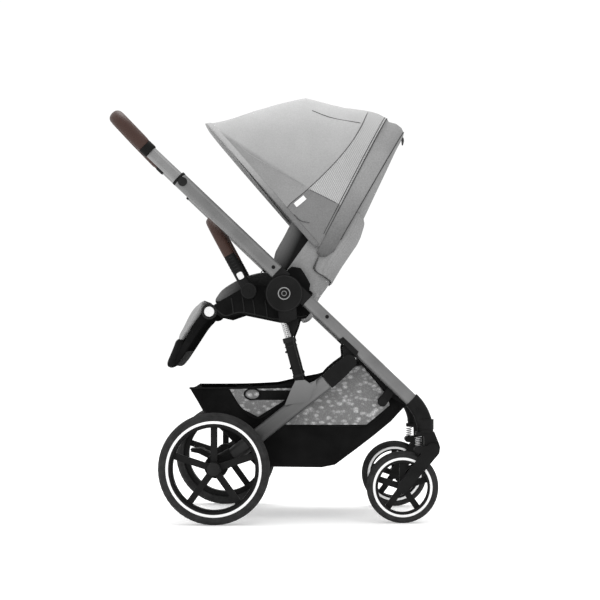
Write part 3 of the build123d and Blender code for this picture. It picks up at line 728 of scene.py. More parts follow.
# One half of the padded section: share of the way from the back face to the front edge, and distance from the middle.
BACK_SECTION = [
    (0.25, 0), (0.25, 50), (0.26, 100), (0.30, 132), (0.40, 150), (0.60, 159), (0.84, 162), (0.95, 167),
    (1.0, 176), (0.97, 186), (0.86, 192), (0.72, 192), (0.64, 188), (0.60, 183.5), (0.56, 187), (0.42, 190),
    (0.22, 189), (0.09, 183), (0.02, 167), (-0.01, 125), (-0.02, 60), (-0.02, 0),
]
INNER_COUNT = 13


def inside_canopy(p, margin):
    """The half-width that stays under the canopy at a place in the side view."""
    if p[1] < PIVOT[2] + 20:
        return 999
    front = hypot(p[0] - PIVOT[0], p[1] - PIVOT[2]) / 414
    rear = hypot(p[0] - 150, p[1] - 700) / 401
    share = front if atan2(p[1] - PIVOT[2], p[0] - PIVOT[0]) > radians(ZIP_ANGLE) else rear
    return 202 * (1 - min(0.995, share) ** 3.2) ** (1 / 3.2) - margin


def back_shell():
    rows = []
    count = 44
    f_line = np.array([f for f, b in BACK_STATIONS], float)
    b_line = np.array([b for f, b in BACK_STATIONS], float)
    t = np.linspace(0, 1, len(BACK_STATIONS))
    for s in np.linspace(0, 1, count):
        f = np.array([np.interp(s, t, f_line[:, 0]), np.interp(s, t, f_line[:, 1])])
        b = np.array([np.interp(s, t, b_line[:, 0]), np.interp(s, t, b_line[:, 1])])
        squeeze = 1 - 0.10 * max(0.0, (s - 0.82) / 0.18) ** 2
        half = []
        for d, y in BACK_SECTION:
            limit = max(4.0, inside_canopy(b + (f - b) * d, 1.0 if d < 0.15 else 5.0))
            half.append((b + (f - b) * d, y * min(squeeze, limit / 192)))
        loop = [(p[0], -y, p[1]) for p, y in half]
        loop += [(p[0], y, p[1]) for p, y in reversed(half[1:-1])]
        rows.append(loop)
    return rows




def back_cloth():
    """Bolsters of dark cloth with painted shade that darkens them towards the back, a dark liner inside and melange
    cloth outside.
    """
    s = Shader("back_cloth", rough=0.92, specular=0.06)
    axes = s.add("ShaderNodeSeparateXYZ", Vector=s.place).outputs
    x, z = axes["X"], axes["Z"]
    side = s.math("ABSOLUTE", axes["Y"])

    def beyond(x0, z0, nx, nz):
        return s.math("ADD", s.math("MULTIPLY", s.math("SUBTRACT", x, x0), nx),
                      s.math("MULTIPLY", s.math("SUBTRACT", z, z0), nz))

    fleck = s.noise(260, 5, 0.7)
    tone = s.math("ADD", s.math("MULTIPLY", fleck, 0.7), s.math("MULTIPLY", s.noise(9, 3), 0.3))
    melange = s.ramp(tone, grey(0.20), grey(0.29), 0.36, 0.66)
    liner = s.ramp(tone, grey(0.06), grey(0.10), 0.36, 0.66)
    # Painted shade: the bolster runs from grey at its front edge to near-black towards the back, on a cloth that is
    # dark in itself.
    shade = s.math("ADD", beyond(-0.002, 0.697, 0.904, -0.427), s.math("MULTIPLY", fleck, 0.006))
    bolster_shaded = s.ramp(s.math("MULTIPLY", shade, 20), grey(0.15), grey(0.008), 0.06, 0.92)
    front = s.math("LESS_THAN", beyond(0.036, 0.668, 0.815, -0.58), 0)
    inner = s.math("MULTIPLY", s.math("LESS_THAN", side, 0.168), s.math("LESS_THAN", beyond(0.1, 0.64, 0.88, -0.475), 0.005))
    colour = s.blend(front, melange, bolster_shaded)
    colour = s.blend(inner, colour, liner)
    return s.finish(colour, s.math("ADD", fleck, s.wave(140, "Y")), 0.0005, 0.6)


MAT["back"] = back_cloth()
rows = back_shell()
shell = grid_piece("backrest_cover", rows, "back", close_cols=True, cap=True)
sub = shell.modifiers.new("sub", "SUBSURF")
sub.levels = sub.render_levels = 1
apply(shell)
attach(shell, "backrest")
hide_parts("back_cover", "back_pad")


def back_flap():
    """The pocket flap round the outside of the seat back."""
    stations = [((114, 657), (150, 633)), ((104, 668), (163, 655)), ((110, 690), (177, 678)), ((130, 722), (194, 704)),
                ((160, 766), (227, 753)), ((188, 806), (241, 797)), ((200, 826), (233, 812))]
    rows = []
    for s in np.linspace(0, 1, 22):
        t = np.linspace(0, 1, len(stations))
        side_pt = np.array([np.interp(s, t, [st[0][k] for st in stations]) for k in (0, 1)])
        back_pt = np.array([np.interp(s, t, [st[1][k] for st in stations]) for k in (0, 1)])
        row = []
        for y in np.linspace(-1, 1, 49):
            g = max(0.0, 1 - abs(y) ** 7) ** (1 / 2.6)
            ripple = 1.8 * sin(9 * y + 4 * s) * g
            p = side_pt + (back_pt - side_pt) * g
            row.append((p[0] + ripple, 196 * y * (1 - 0.015 * (1 - g)), p[1]))
        rows.append(row)
    piece = grid_piece("back_flap", rows, "side", thick=3.0, body="backrest", slot="light_fabric")
    sub = piece.modifiers.new("sub", "SUBSURF")
    sub.levels = sub.render_levels = 1
    apply(piece)


back_flap()
for tag, side in SIDES.items():
    line = [(115, 695), (107, 678), (103, 668), (114, 657), (132, 646), (149, 634)]
    tube_piece(f"flap_piping_{tag}", [(x, side * (198 - 2 * k), z) for k, (x, z) in enumerate(line)], 1.5, "seam",
               sides=8, body="backrest", slot="dark_fabric")

# --- details on the canopy -------------------------------------------------------------


def on_canopy(x, z, side=-1, lift=0.9):
    """The point of the canopy's side seen at a place in the side view."""
    dx, dz = x - PIVOT[0], z - PIVOT[2]
    angle = atan2(dz, dx) * 180 / pi
    reach, r = interp(angle, SIDE_REACH), hypot(dx, dz)
    reach += (interp(angle, REACH) - reach) * min(1.0, r / reach) ** 6
    power = canopy_power(angle)
    share = min(0.9999, max(0.0, (r - 10) / (reach - 10)))
    y = CANOPY_HALF * (1 - share ** power) ** (1 / power)
    slope = (share ** (power - 1)) / max(0.05, (1 - share ** power) ** (1 - 1 / power))
    away = Vector((dx / r * slope * 0.5, 1, dz / r * slope * 0.5)).normalized() * lift
    return (x + away[0], side * (y + away[1]), z + away[2])


def canopy_line(name, places, radius=0.8, material="seam", mid=False):
    for tag, side in SIDES.items():
        line = [(p[0], p[2]) for p in smooth_path([(x, 0, z) for x, z in places], 6)]
        piece = tube_piece(f"{name}_{tag}", [on_canopy(x, z, side) for x, z in line], radius, material, sides=8,
                           smooth_line=False, slot="dark_fabric")
        if mid:
            blend_mid(piece)
        else:
            blend_front(piece)


canopy_line("panel_seam_front", [(29, 822), (44, 840), (68, 860), (87, 876), (101, 889)], 1.0)
canopy_line("panel_seam_back", [(101, 889), (126, 913), (165, 954), (203, 1002), (231, 1050), (250, 1094)], 1.0, mid=True)
canopy_line("visor_stitch", [(-150, 1032), (-103, 1006), (-66, 971), (11, 927), (78, 888)], 0.6, "edge")
canopy_line("peak_stitch", [(100, 1095), (130, 1082), (165, 1071), (229, 1060)], 0.8, mid=True)
canopy_line("corner_stitch", [(93, 788), (70, 793), (52, 810)], 0.7)
canopy_line("vent_edge", [(93, 876), (130, 858), (163, 841)], 0.8, mid=True)

label_rows = []
for v in np.linspace(-6.5, 6.5, 5):
    label_rows.append([on_canopy(68 + u * 0.77 - v * 0.64, 845 + u * 0.64 + v * 0.77, -1, 1.6)
                       for u in np.linspace(-17, 17, 9)])
blend_front(grid_piece("blank_label", label_rows, "label", thick=0.8, slot="light_fabric"))

pull = tube_piece("zip_pull", [(346, -40, 1036), (348, -40, 1026), (347, -40, 1012)], 3.2, "seam", sides=12,
                  taper=lambda s: 0.5 + 0.7 * sin(pi * min(1, s * 0.9 + 0.1)), body="backrest", slot="dark_fabric")

# --- seat ------------------------------------------------------------------------------


def pad_rows(outline, half, edge, step=7):
    """A pad with a side-view outline, rounded where it ends on each side."""
    line = smooth_path([(x, 0, z) for x, z in outline], step, True)
    flat = np.array([(p[0], p[2]) for p in line])
    ahead = np.roll(flat, -1, 0) - np.roll(flat, 1, 0)
    ahead /= np.linalg.norm(ahead, axis=1, keepdims=True)
    area = float(np.sum(flat[:, 0] * np.roll(flat[:, 1], -1) - np.roll(flat[:, 0], -1) * flat[:, 1]))
    inward = np.stack([-ahead[:, 1], ahead[:, 0]], 1) * (1 if area > 0 else -1)
    stations = [(-90, 1), (-60, 1), (-30, 1), (0, 1)]
    rows = []
    for k in range(7):
        a = -pi / 2 + pi / 2 * k / 6
        rows.append((-(half - edge) + edge * sin(a), edge * (1 - cos(a))))
    for y in np.linspace(-(half - edge), half - edge, 41)[1:-1]:
        rows.append((y, 0))
    rows += [(-y, inset) for y, inset in rows[6::-1]]
    return [[(q[0], y, q[1]) for q in flat + inward * inset] for y, inset in rows]


def groove(obj, depth, width, distance):
    """Presses a stitched channel into a soft piece where distance(point) is small."""
    mesh = obj.data
    normals = [v.normal.copy() for v in mesh.vertices]
    for v, n in zip(mesh.vertices, normals):
        d = distance(v.co * 1000) / width
        if abs(d) < 3:
            v.co -= n * (depth / 1000) * 2.718 ** (-d * d)


def soft_pad(name, outline, half, edge, material, body, cap=0.006, replaced=(), channels=()):
    obj = grid_piece(name, pad_rows(outline, half, edge), material, close_cols=True, cap=True)
    puffed(obj, cap)
    for depth, width, distance in channels:
        groove(obj, depth, width, distance)
    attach(obj, body)
    if replaced:
        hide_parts(*replaced)
    return obj


def cushion_cloth():
    s = Shader("cushion_cloth", rough=0.92, specular=0.06)
    axes = s.add("ShaderNodeSeparateXYZ", Vector=s.place).outputs
    fleck = s.noise(260, 5, 0.7)
    tone = s.math("ADD", s.math("MULTIPLY", fleck, 0.7), s.math("MULTIPLY", s.noise(9, 3), 0.3))
    melange = s.ramp(tone, grey(0.10), grey(0.16), 0.36, 0.66)
    deep = s.ramp(tone, grey(0.010), grey(0.022), 0.36, 0.66)
    # Painted shade with real colour: on the cushion's sides the grey melange turns near-black further back, partly the
    # dark side cloth and partly painted shade. Below z 0.582 m the near-black colour is used all round.
    share = s.math("ADD", s.math("MULTIPLY", s.math("ADD", axes["X"], 0.135), 14), s.math("MULTIPLY", fleck, 0.2), True)
    side = s.math("GREATER_THAN", s.math("ABSOLUTE", axes["Y"]), 0.150)
    under = s.math("LESS_THAN", axes["Z"], 0.582)
    low = s.math("MAXIMUM", s.math("MULTIPLY", share, side), under)
    return s.finish(s.blend(low, melange, deep), s.math("ADD", fleck, s.wave(140, "Y")), 0.0005, 0.6)


MAT["cushion"] = cushion_cloth()
cushion = soft_pad("seat_pad", [(-166, 579), (-156, 594), (-137, 610), (-102, 631), (-67, 646), (-24, 655), (18, 650), (40, 638),
                                (46, 600), (44, 574), (10, 556), (-90, 574), (-138, 568)],
                   168, 20, "cushion", "seat", 0.006, ("seat_cushion",),
                   [(3.5, 4, lambda p: abs(p[1]) - 118 if p[2] > 600 else 99),
                    (3.0, 4, lambda p: (p[0] + 96) if p[2] > 610 and abs(p[1]) < 118 else 99)])
leg_pad = soft_pad("leg_rest_pad", [(-186, 588), (-201, 575), (-221, 551), (-244, 507), (-259, 478), (-251, 473),
                                    (-222, 512), (-202, 540), (-190, 566)],
                   162, 9, "light", "leg_rest_flap", 0.004, ("leg_rest",),
                   [(2.0, 3, lambda p: abs(p[1]) - 120)])
foot = soft_pad("leg_rest_foot", [(-257, 487), (-268, 462), (-281, 430), (-289, 412), (-284, 403), (-272, 404),
                                  (-257, 422), (-238, 452), (-240, 474)],
                158, 8, "black_cloth", "leg_rest_flap", 0.003)
plate_piece("leg_rest_back", [(-183, 566), (-167, 549), (-181, 527), (-199, 506), (-256, 420), (-263, 425), (-250, 456),
                              (-222, 512), (-202, 541)], -163, 163, "matte", 2.0, 8, body="leg_rest_flap",
            slot="black_plastic")
for tag, side in SIDES.items():
    y = side * 187.2
    for n, (x, lo, hi) in enumerate(((-83, 549, 596), (-55, 543, 588), (-22, 537, 584), (-112, 546, 590))):
        tube_piece(f"seat_rib_{n}_{tag}", [(x - 3, y, hi), (x + 1, y, (lo + hi) / 2), (x + 3, y, lo)], 1.8, "plastic_soft",
                   sides=8, body="seat", slot="black_plastic")
    tube_piece(f"seat_rim_{tag}", [(-156, y, 560), (-130, y, 543), (-90, y, 552), (-30, y, 541), (11, y, 534), (86, y, 543)],
               2.0, "plastic_soft", sides=8, body="seat", slot="black_plastic")
    ring_piece(f"leg_rest_ring_{tag}", (LEG_REST[0], LEG_REST[2]), [(14.6, 0), (20.6, 0), (20.6, 1.6), (19, 2.6),
                                                                   (16, 2.6), (14.6, 1.6)],
               186.5, side, "plastic_soft", 64, body="seat", slot="black_plastic")

# --- harness ---------------------------------------------------------------------------


def strap(name, points, width, body, thick=1.6, up=(0, 1, 0), material="webbing"):
    """Flat webbing along a line, width across the stroller."""
    path = smooth_path(points, 8)
    rows = []
    for i, p in enumerate(path):
        a, b = path[max(0, i - 1)], path[min(len(path) - 1, i + 1)]
        t = (b - a) / np.linalg.norm(b - a)
        n = np.array((t[2], 0, -t[0]))
        n = n / max(1e-6, np.linalg.norm(n))
        rows.append([p + np.array((0, w * width / 2, 0)) + n * h for w, h in
                     ((-1, 0), (-0.9, thick / 2), (0.9, thick / 2), (1, 0), (0.9, -thick / 2), (-0.9, -thick / 2))])
    return grid_piece(name, rows, material, close_cols=True, cap=True, body=body, slot="dark_fabric")


for tag, side in SIDES.items():
    strap(f"shoulder_strap_{tag}", [(205, 48 * side, 950), (150, 50 * side, 850), (108, 48 * side, 770), (66, 34 * side, 706),
                                    (20, 20 * side, 676)], 24, "backrest")
    soft_pad(f"shoulder_pad_{tag}", [(196, 936), (150, 851), (112, 781), (119, 777), (158, 847), (203, 932)], 20, 3.4,
             "dark", "backrest", 0.002)
    pad = bpy.data.objects[f"shoulder_pad_{tag}"]
    for v in pad.data.vertices:
        v.co.y += 0.049 * side
        v.co.x -= 0.008
strap("crotch_strap", [(-46, 0, 652), (-40, 0, 668), (-24, 0, 675)], 26, "seat")

# --- basket ----------------------------------------------------------------------------
# Each station: a share along the basket, its rim point and its floor point in the side view.
BASKET = [
    (0.00, (-222, 351), (-222, 350)), (0.06, (-196, 352), (-190, 293)), (0.14, (-160, 353), (-148, 247)),
    (0.19, (-136, 354), (-128, 229)), (0.34, (-40, 358), (-52, 149)), (0.38, (-8, 359), (-36, 144)),
    (0.58, (120, 383), (124, 142)), (0.66, (180, 402), (160, 149)), (0.76, (227, 417), (215, 190)),
    (0.86, (262, 377), (262, 226)), (0.94, (297, 333), (308, 264)), (0.98, (330, 318), (338, 297)),
    (1.00, (350, 309), (350, 308)),
]


def basket_cloth():
    """Black cloth with two knitted windows, cut by straight seams in the side view."""
    s = Shader("basket_cloth", rough=0.9, specular=0.05)
    axes = s.add("ShaderNodeSeparateXYZ", Vector=s.place).outputs
    x, z = axes["X"], axes["Z"]
    wide = s.math("GREATER_THAN", s.math("ABSOLUTE", axes["Y"]), 0.188)

    def left_of(a, b):
        """1 on the left of the line from a to b."""
        dx, dz = (b[0] - a[0]) / 1000, (b[1] - a[1]) / 1000
        across = s.math("SUBTRACT", s.math("MULTIPLY", s.math("SUBTRACT", z, a[1] / 1000), dx),
                        s.math("MULTIPLY", s.math("SUBTRACT", x, a[0] / 1000), dz))
        return s.math("GREATER_THAN", across, 0)

    def window(corners):
        share = wide
        for k, a in enumerate(corners):
            share = s.math("MULTIPLY", share, left_of(a, corners[(k + 1) % len(corners)]))
        return share

    big = window([(-30, 255), (243, 255), (304, 306), (297, 333), (232, 412), (150, 400)])
    small = window([(-38, 273), (25, 318), (80, 352), (-121, 349), (-86, 298)])
    reach_x = s.math("MULTIPLY", s.math("ADD", x, 0.058), 1 / 0.018)
    reach_z = s.math("MULTIPLY", s.math("SUBTRACT", z, 0.3355), 1 / 0.0125)
    eye = s.math("ADD", s.math("MULTIPLY", reach_x, reach_x), s.math("MULTIPLY", reach_z, reach_z))
    ring = s.math("LESS_THAN", eye, 1.7)
    band = s.math("MULTIPLY", s.math("GREATER_THAN", x, -0.058), s.math("MULTIPLY", s.math("GREATER_THAN", z, 0.320),
                                                                      s.math("LESS_THAN", z, 0.3455)))
    solid = s.math("MAXIMUM", ring, band)
    window_share = s.math("MULTIPLY", small, s.math("SUBTRACT", 1, solid))
    window_share = s.math("MAXIMUM", window_share, s.math("MULTIPLY", s.math("LESS_THAN", eye, 1), wide))
    window_share = s.math("MAXIMUM", window_share, big)
    cells = s.voronoi(330, s.stretch(1, 1, 0.8), "F1")
    spots = s.voronoi(72, s.stretch(0.8, 0.8, 1.25, (0, 30, 0)), "F1")
    drift = s.math("ADD", spots, s.math("MULTIPLY", s.math("SUBTRACT", s.noise(40, 2, 0.5), 0.5), 0.9))
    net = s.ramp(drift, grey(0.52), grey(0.20), 0.10, 0.50)
    net = s.blend(s.math("GREATER_THAN", cells, 0.45), net, s.blend(0.4, net, grey(0.10)))
    face = s.add("ShaderNodeSeparateXYZ", Vector=s.add("ShaderNodeNewGeometry").outputs["Normal"]).outputs["Y"]
    lining = s.math("LESS_THAN", s.math("MULTIPLY", face, axes["Y"]), -0.02)
    net = s.blend(lining, net, grey(0.02))
    weave = s.math("ADD", s.wave(180, "X", s.stretch(1, 1, 1, (0, 40, 0))), s.noise(60, 4))
    black = s.ramp(s.noise(12, 4), grey(0.0035), grey(0.0085), 0.35, 0.7)
    height = s.math("ADD", s.math("MULTIPLY", cells, window_share), s.math("MULTIPLY", weave, 0.35))
    return s.finish(s.blend(window_share, black, net), height, 0.0008, 0.7)


MAT["basket"] = basket_cloth()
basket_rows = []
for share in np.linspace(0, 1, 101):
    rim = [interp(share, [(s, r[k]) for s, r, f in BASKET]) for k in (0, 1)]
    low = [interp(share, [(s, f[k]) for s, r, f in BASKET]) for k in (0, 1)]
    rim_z = rim[1] - (4 * sin(pi * (rim[0] + 222) / 275) if rim[0] < 53 else 0)
    rim, low = np.array((rim[0], rim_z)), np.array(low)
    deep = float(np.linalg.norm(rim - low))
    corner = min(16.0, deep * 0.45)
    row = []
    for d in np.linspace(0, 1, 26):
        bulge = 3.5 * sin(pi * d) * min(1, deep / 120)
        q = rim + (low - rim) * d * (1 - corner / max(deep, 1))
        row.append((q[0], 199.0 + bulge, q[1]))
    up = (rim - low) / max(deep, 1)
    for a in (22, 45, 68, 90):
        q = low + up * corner * (1 - sin(radians(a)))
        row.append((q[0], 199.0 - corner * (1 - cos(radians(a))), q[1]))
    for y in np.linspace(199 - corner, 0, 16)[1:]:
        sag = -3.0 * (1 - (y / 180) ** 2) * min(1.0, deep / 150)
        row.append((low[0] + up[0] * sag, y, low[1] + up[1] * sag))
    row = [(x, -y, z) for x, y, z in row] + [(x, y, z) for x, y, z in row[-2::-1]]
    basket_rows.append(row)
basket = grid_piece("basket_tray", basket_rows, "basket", thick=1.8, body="chassis", slot="basket_mesh")
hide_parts("basket")

rim_line = [(x, z) for x, z in ((-222, 351), (-160, 351), (-80, 352), (0, 356), (53, 361), (120, 381), (180, 401), (227, 416))]
for tag, side in SIDES.items():
    tube_piece(f"basket_hem_{tag}", [(x, side * 200, z) for x, z in rim_line], 2.6, "black_cloth", sides=10, body="chassis",
               slot="black_plastic")
    tube_piece(f"basket_front_hem_{tag}", [(224, side * 201, 421), (249, side * 202, 405), (303, side * 202, 340),
                                           (351, side * 200, 311)], 6.5, "black_cloth", sides=10, body="chassis",
               slot="black_plastic")
    tube_piece(f"basket_seam_{tag}", [(-20, side * 203.5, 254), (100, side * 203.8, 253.5), (243, side * 203.5, 254),
                                      (304, side * 203, 304)], 1.3, "black_cloth", sides=8, body="chassis",
               slot="black_plastic")
    tube_piece(f"basket_corner_{tag}", [(-121, side * 201, 350), (-86, side * 203.5, 298), (-38, side * 204, 272),
                                        (25, side * 203.5, 317)], 1.6, "black_cloth", sides=8, body="chassis",
               slot="black_plastic")
    eye_rim = [(-58 + 19.5 * cos(a), side * 203.6, 335.5 + 14 * sin(a)) for a in np.linspace(0, 2 * pi, 25)[:-1]]
    tube_piece(f"basket_eyelet_{tag}", eye_rim, 1.7, "plastic", sides=8, closed=True, body="chassis", slot="black_plastic")
tube_piece("basket_rear_hem", [(-222, -199, 351), (-223, 0, 347), (-222, 199, 351)], 3.0, "black_cloth", sides=10,
           body="chassis", slot="black_plastic", up=(0, 0, 1))

# --- wheels ----------------------------------------------------------------------------


def tyre_piece(name, centre, y, side, profile, body, replaced, sides=220, groove_rows=(), depth=1.3):
    """A tyre turned from a closed loop of (radius, distance outwards), with cross grooves in its tread."""
    rows = []
    for r, out in profile:
        row = []
        for k in range(sides):
            cut = depth if (r, out) in groove_rows and k % 4 < 1 else 0
            a = 2 * pi * (k + (0.8 if out > 0 else 0)) / sides
            row.append((centre[0] + (r - cut) * cos(a), side * (y + out), centre[1] + (r - cut) * sin(a)))
        rows.append(row)
    piece = grid_piece(name, rows, "tyre", close_cols=True, close_rows=True, body=body, slot="tyre_rubber")
    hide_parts(replaced)
    return piece


def tyre_profile(outer, inner, half):
    tread = [(outer - 3.6, half - 6.5), (outer - 1.5, half - 10), (outer - 0.2, half * 0.36), (outer - 1.6, half * 0.30),
             (outer - 1.6, half * 0.22), (outer, half * 0.16)]
    wall = [(inner, half * 0.55), (inner, half - 1.5), (inner + 1.5, half - 0.3), (inner + 5, half), (inner + 7.5, half - 1.0),
            (inner + 9, half), (inner + (outer - inner) * 0.62, half - 1.2), (inner + (outer - inner) * 0.66, half - 1.9),
            (inner + (outer - inner) * 0.70, half - 1.4), (outer - 7, half - 3.2)]
    side = wall + tread
    return side + [(r, -d) for r, d in reversed(side)], [tread[1], (tread[1][0], -tread[1][1]), tread[2], (tread[2][0], -tread[2][1])]


for tag, side in SIDES.items():
    for name, centre, y, outer, inner, half, hub_face, cap_r, ring in (
        ("rear", (-154, 145), 285.5, 145, 121.9, 22, 22.2, 17, (117.2, 124.0)),
        ("front", (336, 94), 230, 94, 74.9, 18, 18.2, 13, (71.2, 77.6)),
    ):
        body = f"{name}_wheel_{tag}"
        profile, cuts = tyre_profile(outer, inner, half)
        tyre_piece(f"{name}_tyre_look_{tag}", centre, y, side, profile, body, f"{name}_tyre_{tag}", groove_rows=cuts)
        faces = (1,) if name == "rear" else (1, -1)
        for face in faces:
            lo, hi = ring
            loop = [(lo, face * (half - 1)), (lo, face * (half + 0.3)), (lo + 1, face * (half + 0.9)),
                    (hi - 1, face * (half + 0.9)), (hi, face * (half + 0.3)), (hi, face * (half - 1))]
            ring_piece(f"{name}_white_ring_{tag}{'_in' if face < 0 else ''}", centre, loop, y, side, "white", 160, body=body,
                       slot="button_grey")
        edge_loop = [(ring[0] - 7, half - 3), (ring[0] - 6.5, half + 0.2), (ring[0] - 4, half + 0.6), (ring[0] - 0.5, half + 0.4),
                     (ring[0] - 0.3, half - 2)]
        ring_piece(f"{name}_rim_lip_{tag}", centre, edge_loop, y, side, "rim", 160, body=body, slot="black_plastic")
        if name == "rear":
            disc_piece(f"rear_cap_{tag}", centre, [(0.1, half + 3.4), (10, half + 3.2), (15.5, half + 2.4), (17.5, half + 1),
                                                   (18, half - 3)], y, side, "plastic_soft", 48, body=body,
                       slot="black_plastic")

# --- frame details ---------------------------------------------------------------------


def screw(name, centre, y, side, r, body):
    disc_piece(name, centre, [(0.1, 0.2), (r * 0.42, 0.2), (r * 0.5, 0.7), (r * 0.9, 0.7), (r, 0.2), (r, -1.5)], y, side,
               "plastic", 24, body=body, slot="black_plastic")


for tag, side in SIDES.items():
    screw(f"upper_screw_{tag}", (-1.5, 669), 244.3, side, 5, "handle_frame")
    screw(f"lower_screw_{tag}", (139, 539), 244.3, side, 5, "chassis")
    screw(f"axle_screw_{tag}", (-112, 172), 248.2, side, 4.5, "rear_legs")
    screw(f"bumper_screw_{tag}", (-68, 608), 212.2, side, 4.5, "bumper")
    screw(f"elbow_screw_{tag}", (377, 296), 252.0, side, 3.2, "chassis")
    ring_piece(f"hub_emblem_ring_{tag}", (HUB[0], HUB[2]), [(13.6, 0), (13.6, 0.9), (14.4, 1.3), (16.0, 1.3), (16.6, 0.9),
                                                           (16.6, 0)], 247.8, side, "tube_light", 72, body="chassis",
               slot="bright_metal")
    ring_piece(f"hub_emblem_inner_{tag}", (HUB[0], HUB[2]), [(5.4, 0), (5.4, 0.8), (7.0, 0.8), (7.0, 0)], 247.8, side,
               "tube_light", 48, body="chassis", slot="bright_metal")
    ring_piece(f"hub_groove_{tag}", (HUB[0], HUB[2]), [(44.6, 0), (44.6, 0.6), (45.8, 0.8), (46.8, 0.4), (46.8, 0)], 247.9,
               side, "plastic_soft", 96, body="chassis", slot="black_plastic")

ALONG = np.array((cos(radians(43.6)), 0, -sin(radians(43.6))))
ABOVE = np.array((sin(radians(43.6)), 0, cos(radians(43.6))))


def tube_place(along, above, y):
    """A place measured from the hub along the main tube's slope."""
    return np.array((HUB[0], y, HUB[2])) + ALONG * along + ABOVE * above


def band_piece(name, a, b, rx, ry, power, material, body, slot, up=ABOVE):
    """A short sleeve round a tube from a to b, with rolled ends."""
    axis = (b - a) / np.linalg.norm(b - a)
    stops = [(-0.0, 0.93), (0.12, 1.0), (0.88, 1.0), (1.0, 0.93)]
    path = [a + (b - a) * s for s, _ in stops]
    rows = sweep_rows(path, lambda i, s: [(u * stops[i][1], v * stops[i][1]) for u, v in ring_section(rx, ry, 32, power)], up)
    return grid_piece(name, rows, material, close_cols=True, cap=True, body=body, slot=slot)


for tag, side in SIDES.items():
    y = side * 230
    band_piece(f"telescope_bush_{tag}", tube_place(-413, 27.8, y), tube_place(-405, 27.8, y), 15.0, 20.8, 2.6, "plastic",
               "handle_frame", "black_plastic")
    band_piece(f"grip_collar_{tag}", tube_place(-537, 27.8, y), tube_place(-511, 27.8, y), 17.6, 19.4, 2.4, "plastic",
               "handlebar", "black_plastic")



def strut_details(tag, side):
    """Notches along the strut's rod and the collar and ribs on its cylinder."""
    top, foot = np.array((23.4, 0, 531.0)), np.array((68.0, 0, 366.0))
    axis = (foot - top) / np.linalg.norm(foot - top)
    across = np.array((-axis[2], 0, axis[0]))
    y = side * 230
    for k in range(7):
        p = top + axis * (14 + 5.2 * k)
        for n, shift in enumerate((-2.6, 2.6)):
            q = p + across * shift
            disc_piece(f"strut_hole_{k}_{n}_{tag}", (q[0], q[2]), [(0.1, 0.25), (1.3, 0.25), (1.5, 0)], 237.3, side, "plastic", 12,
                       body=f"strut_rod_{tag}", slot="black_plastic")
    for name, a, b, r in (("collar", 48, 62, 14.6), ("ring", 70, 73, 14.2), ("foot", 148, 156, 14.4)):
        band_piece(f"strut_{name}_{tag}", top + axis * a + (0, y, 0), top + axis * b + (0, y, 0), r, r, 2.0, "plastic_soft",
                   f"strut_cylinder_{tag}", "black_plastic", across)
    for n, along in enumerate((84, 128)):
        q = top + axis * along - across * 13.6
        disc_piece(f"strut_bump_{n}_{tag}", (q[0], q[2]), [(0.1, 8), (2.4, 7.6), (3.2, 6), (3.2, -6), (0.1, -7)], 230, side,
                   "plastic_soft", 20, body=f"strut_cylinder_{tag}", slot="black_plastic")


def bumper_ribs(tag, side):
    a, b = np.array((-68.0, side * 201, 608.0)), np.array((-119.5, side * 201, 703.0))
    for n, share in enumerate((0.60, 0.68, 0.76, 0.84, 0.92)):
        p = a + (b - a) * share
        q = p + (b - a) / np.linalg.norm(b - a) * 3.4
        band_piece(f"bumper_rib_{n}_{tag}", p, q, 11.6, 15.7, 2.2, "plastic_soft", "bumper", "black_plastic",
                   np.array((b - a)[[2, 1, 0]]) * (1, 0, -1))


for tag, side in SIDES.items():
    strut_details(tag, side)
    bumper_ribs(tag, side)

under = soft_pad("seat_back_hem", [(66, 529), (80, 528), (95, 539), (106, 560), (112, 588), (122, 604), (100, 606), (86, 575),
                                   (74, 548)], 189, 9, "side", "seat", 0.002)


def grip_path(start, tip, corner, half):
    """A bar that goes out along one side, turns and comes back along the other."""
    def place(along, y):
        return tube_place(-along, 27.8 + 4.5 * (along - start) / (tip - start), y)

    turn = np.linspace(0, pi / 2, 13)
    near = [place(a, -half) for a in np.linspace(start, tip - corner, 8)]
    near += [place(tip - corner + corner * sin(a), -half + corner * (1 - cos(a))) for a in turn[1:]]
    middle = [place(tip, y) for y in np.linspace(-half + corner, half - corner, 33)[1:-1]]
    return near + middle + [p * (1, -1, 1) for p in reversed(near)]


def leather_grip(name, path, rx, ry, body, up, replaced, seam=True):
    """A padded leather sleeve with a stitched seam along its inner side and slightly pinched ends."""
    count = len(path)

    def section(i, share):
        end = min(i, count - 1 - i)
        k = 0.93 if end == 0 else 0.98 if end == 1 else 1.0
        ring = ring_section(rx * k, ry * k, 36, 2.3)
        return [(u, v * (1 - (0.05 if abs(n - 27) < 2 else 0))) for n, (u, v) in enumerate(ring)]

    rows = sweep_rows(path, section, up)
    sleeve = grid_piece(name, rows, "leather", close_cols=True, cap=True, body=body, slot="brown_leather")
    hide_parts(replaced)
    low = [np.array(row[27]) * 1.0 for row in rows[1:-1]]
    tube_piece(name + "_seam", low, 0.9, "thread", sides=6, smooth_line=False, body=body, slot="brown_leather")
    return sleeve


leather_grip("handle_sleeve", grip_path(534, 644, 42, 230), 19.8, 20.2, "handlebar", ABOVE, "handle_grip")

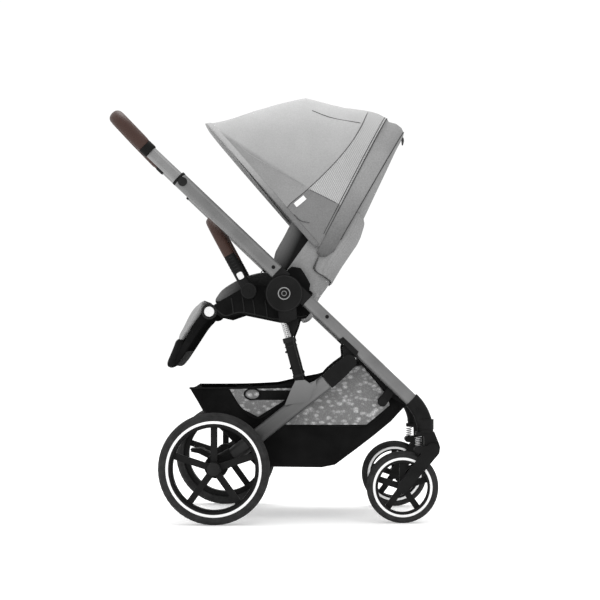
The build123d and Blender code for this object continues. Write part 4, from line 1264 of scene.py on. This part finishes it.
for tag, side in SIDES.items():
    plate_piece(f"hub_wedge_{tag}", [(34, 534), (66, 534), (61, 515), (54, 497), (49, 485), (46, 486), (43, 497), (37, 515)],
                side * 214, side * 222, "plastic", 1.5, body="chassis", slot="black_plastic")
    ring_piece(f"bumper_disc_rim_{tag}", (BUMPER[0], BUMPER[2]), [(17.6, 0), (17.8, 0.7), (19.4, 0.7), (19.8, 0)], 212.0, side,
               "plastic_soft", 64, body="bumper", slot="black_plastic")

# --- camera, light and floor ---------------------------------------------------------
scene = bpy.context.scene
camera = bpy.data.objects.new("camera", bpy.data.cameras.new("camera"))
camera.data.lens = 100.7
camera.data.sensor_width = 36
camera.location = (0.110, -4.635, 0.473)
camera.rotation_euler = (radians(90 + 1.433), 0, radians(0.546))
scene.collection.objects.link(camera)
scene.camera = camera

world = bpy.data.worlds.new("studio")
world.use_nodes = True
world.node_tree.nodes["Background"].inputs["Color"].default_value = (1, 1, 1, 1)
world.node_tree.nodes["Background"].inputs["Strength"].default_value = 1.0
scene.world = world


def lamp(name, place, target, size, power):
    data = bpy.data.lights.new(name, "AREA")
    data.shape = "DISK"
    data.size = size
    data.energy = power
    obj = bpy.data.objects.new(name, data)
    obj.location = place
    obj.rotation_euler = (Vector(target) - Vector(place)).to_track_quat("-Z", "Y").to_euler()
    scene.collection.objects.link(obj)


lamp("key", (0.9, -2.6, 3.4), (0, 0, 0.6), 2.2, 16)
lamp("fill", (-2.6, -2.2, 1.6), (0, 0, 0.6), 2.0, 5)
lamp("top", (-0.2, 0.6, 3.6), (0, 0, 0.6), 2.4, 60)
bpy.ops.mesh.primitive_plane_add(size=60, location=(0, 0, 0))
ground = bpy.context.object
ground.name = "ground"
s = Shader("white_floor", rough=0.9)
s.main.inputs["Emission Color"].default_value = (1, 1, 1, 1)
s.main.inputs["Emission Strength"].default_value = 0.28
ground.data.materials.append(s.finish(s.ramp(s.noise(0.7, 2), grey(0.90), grey(0.93))))
scene.view_settings.view_transform = "Standard"
scene.view_settings.look = "None"
scene.view_settings.exposure = 0.05
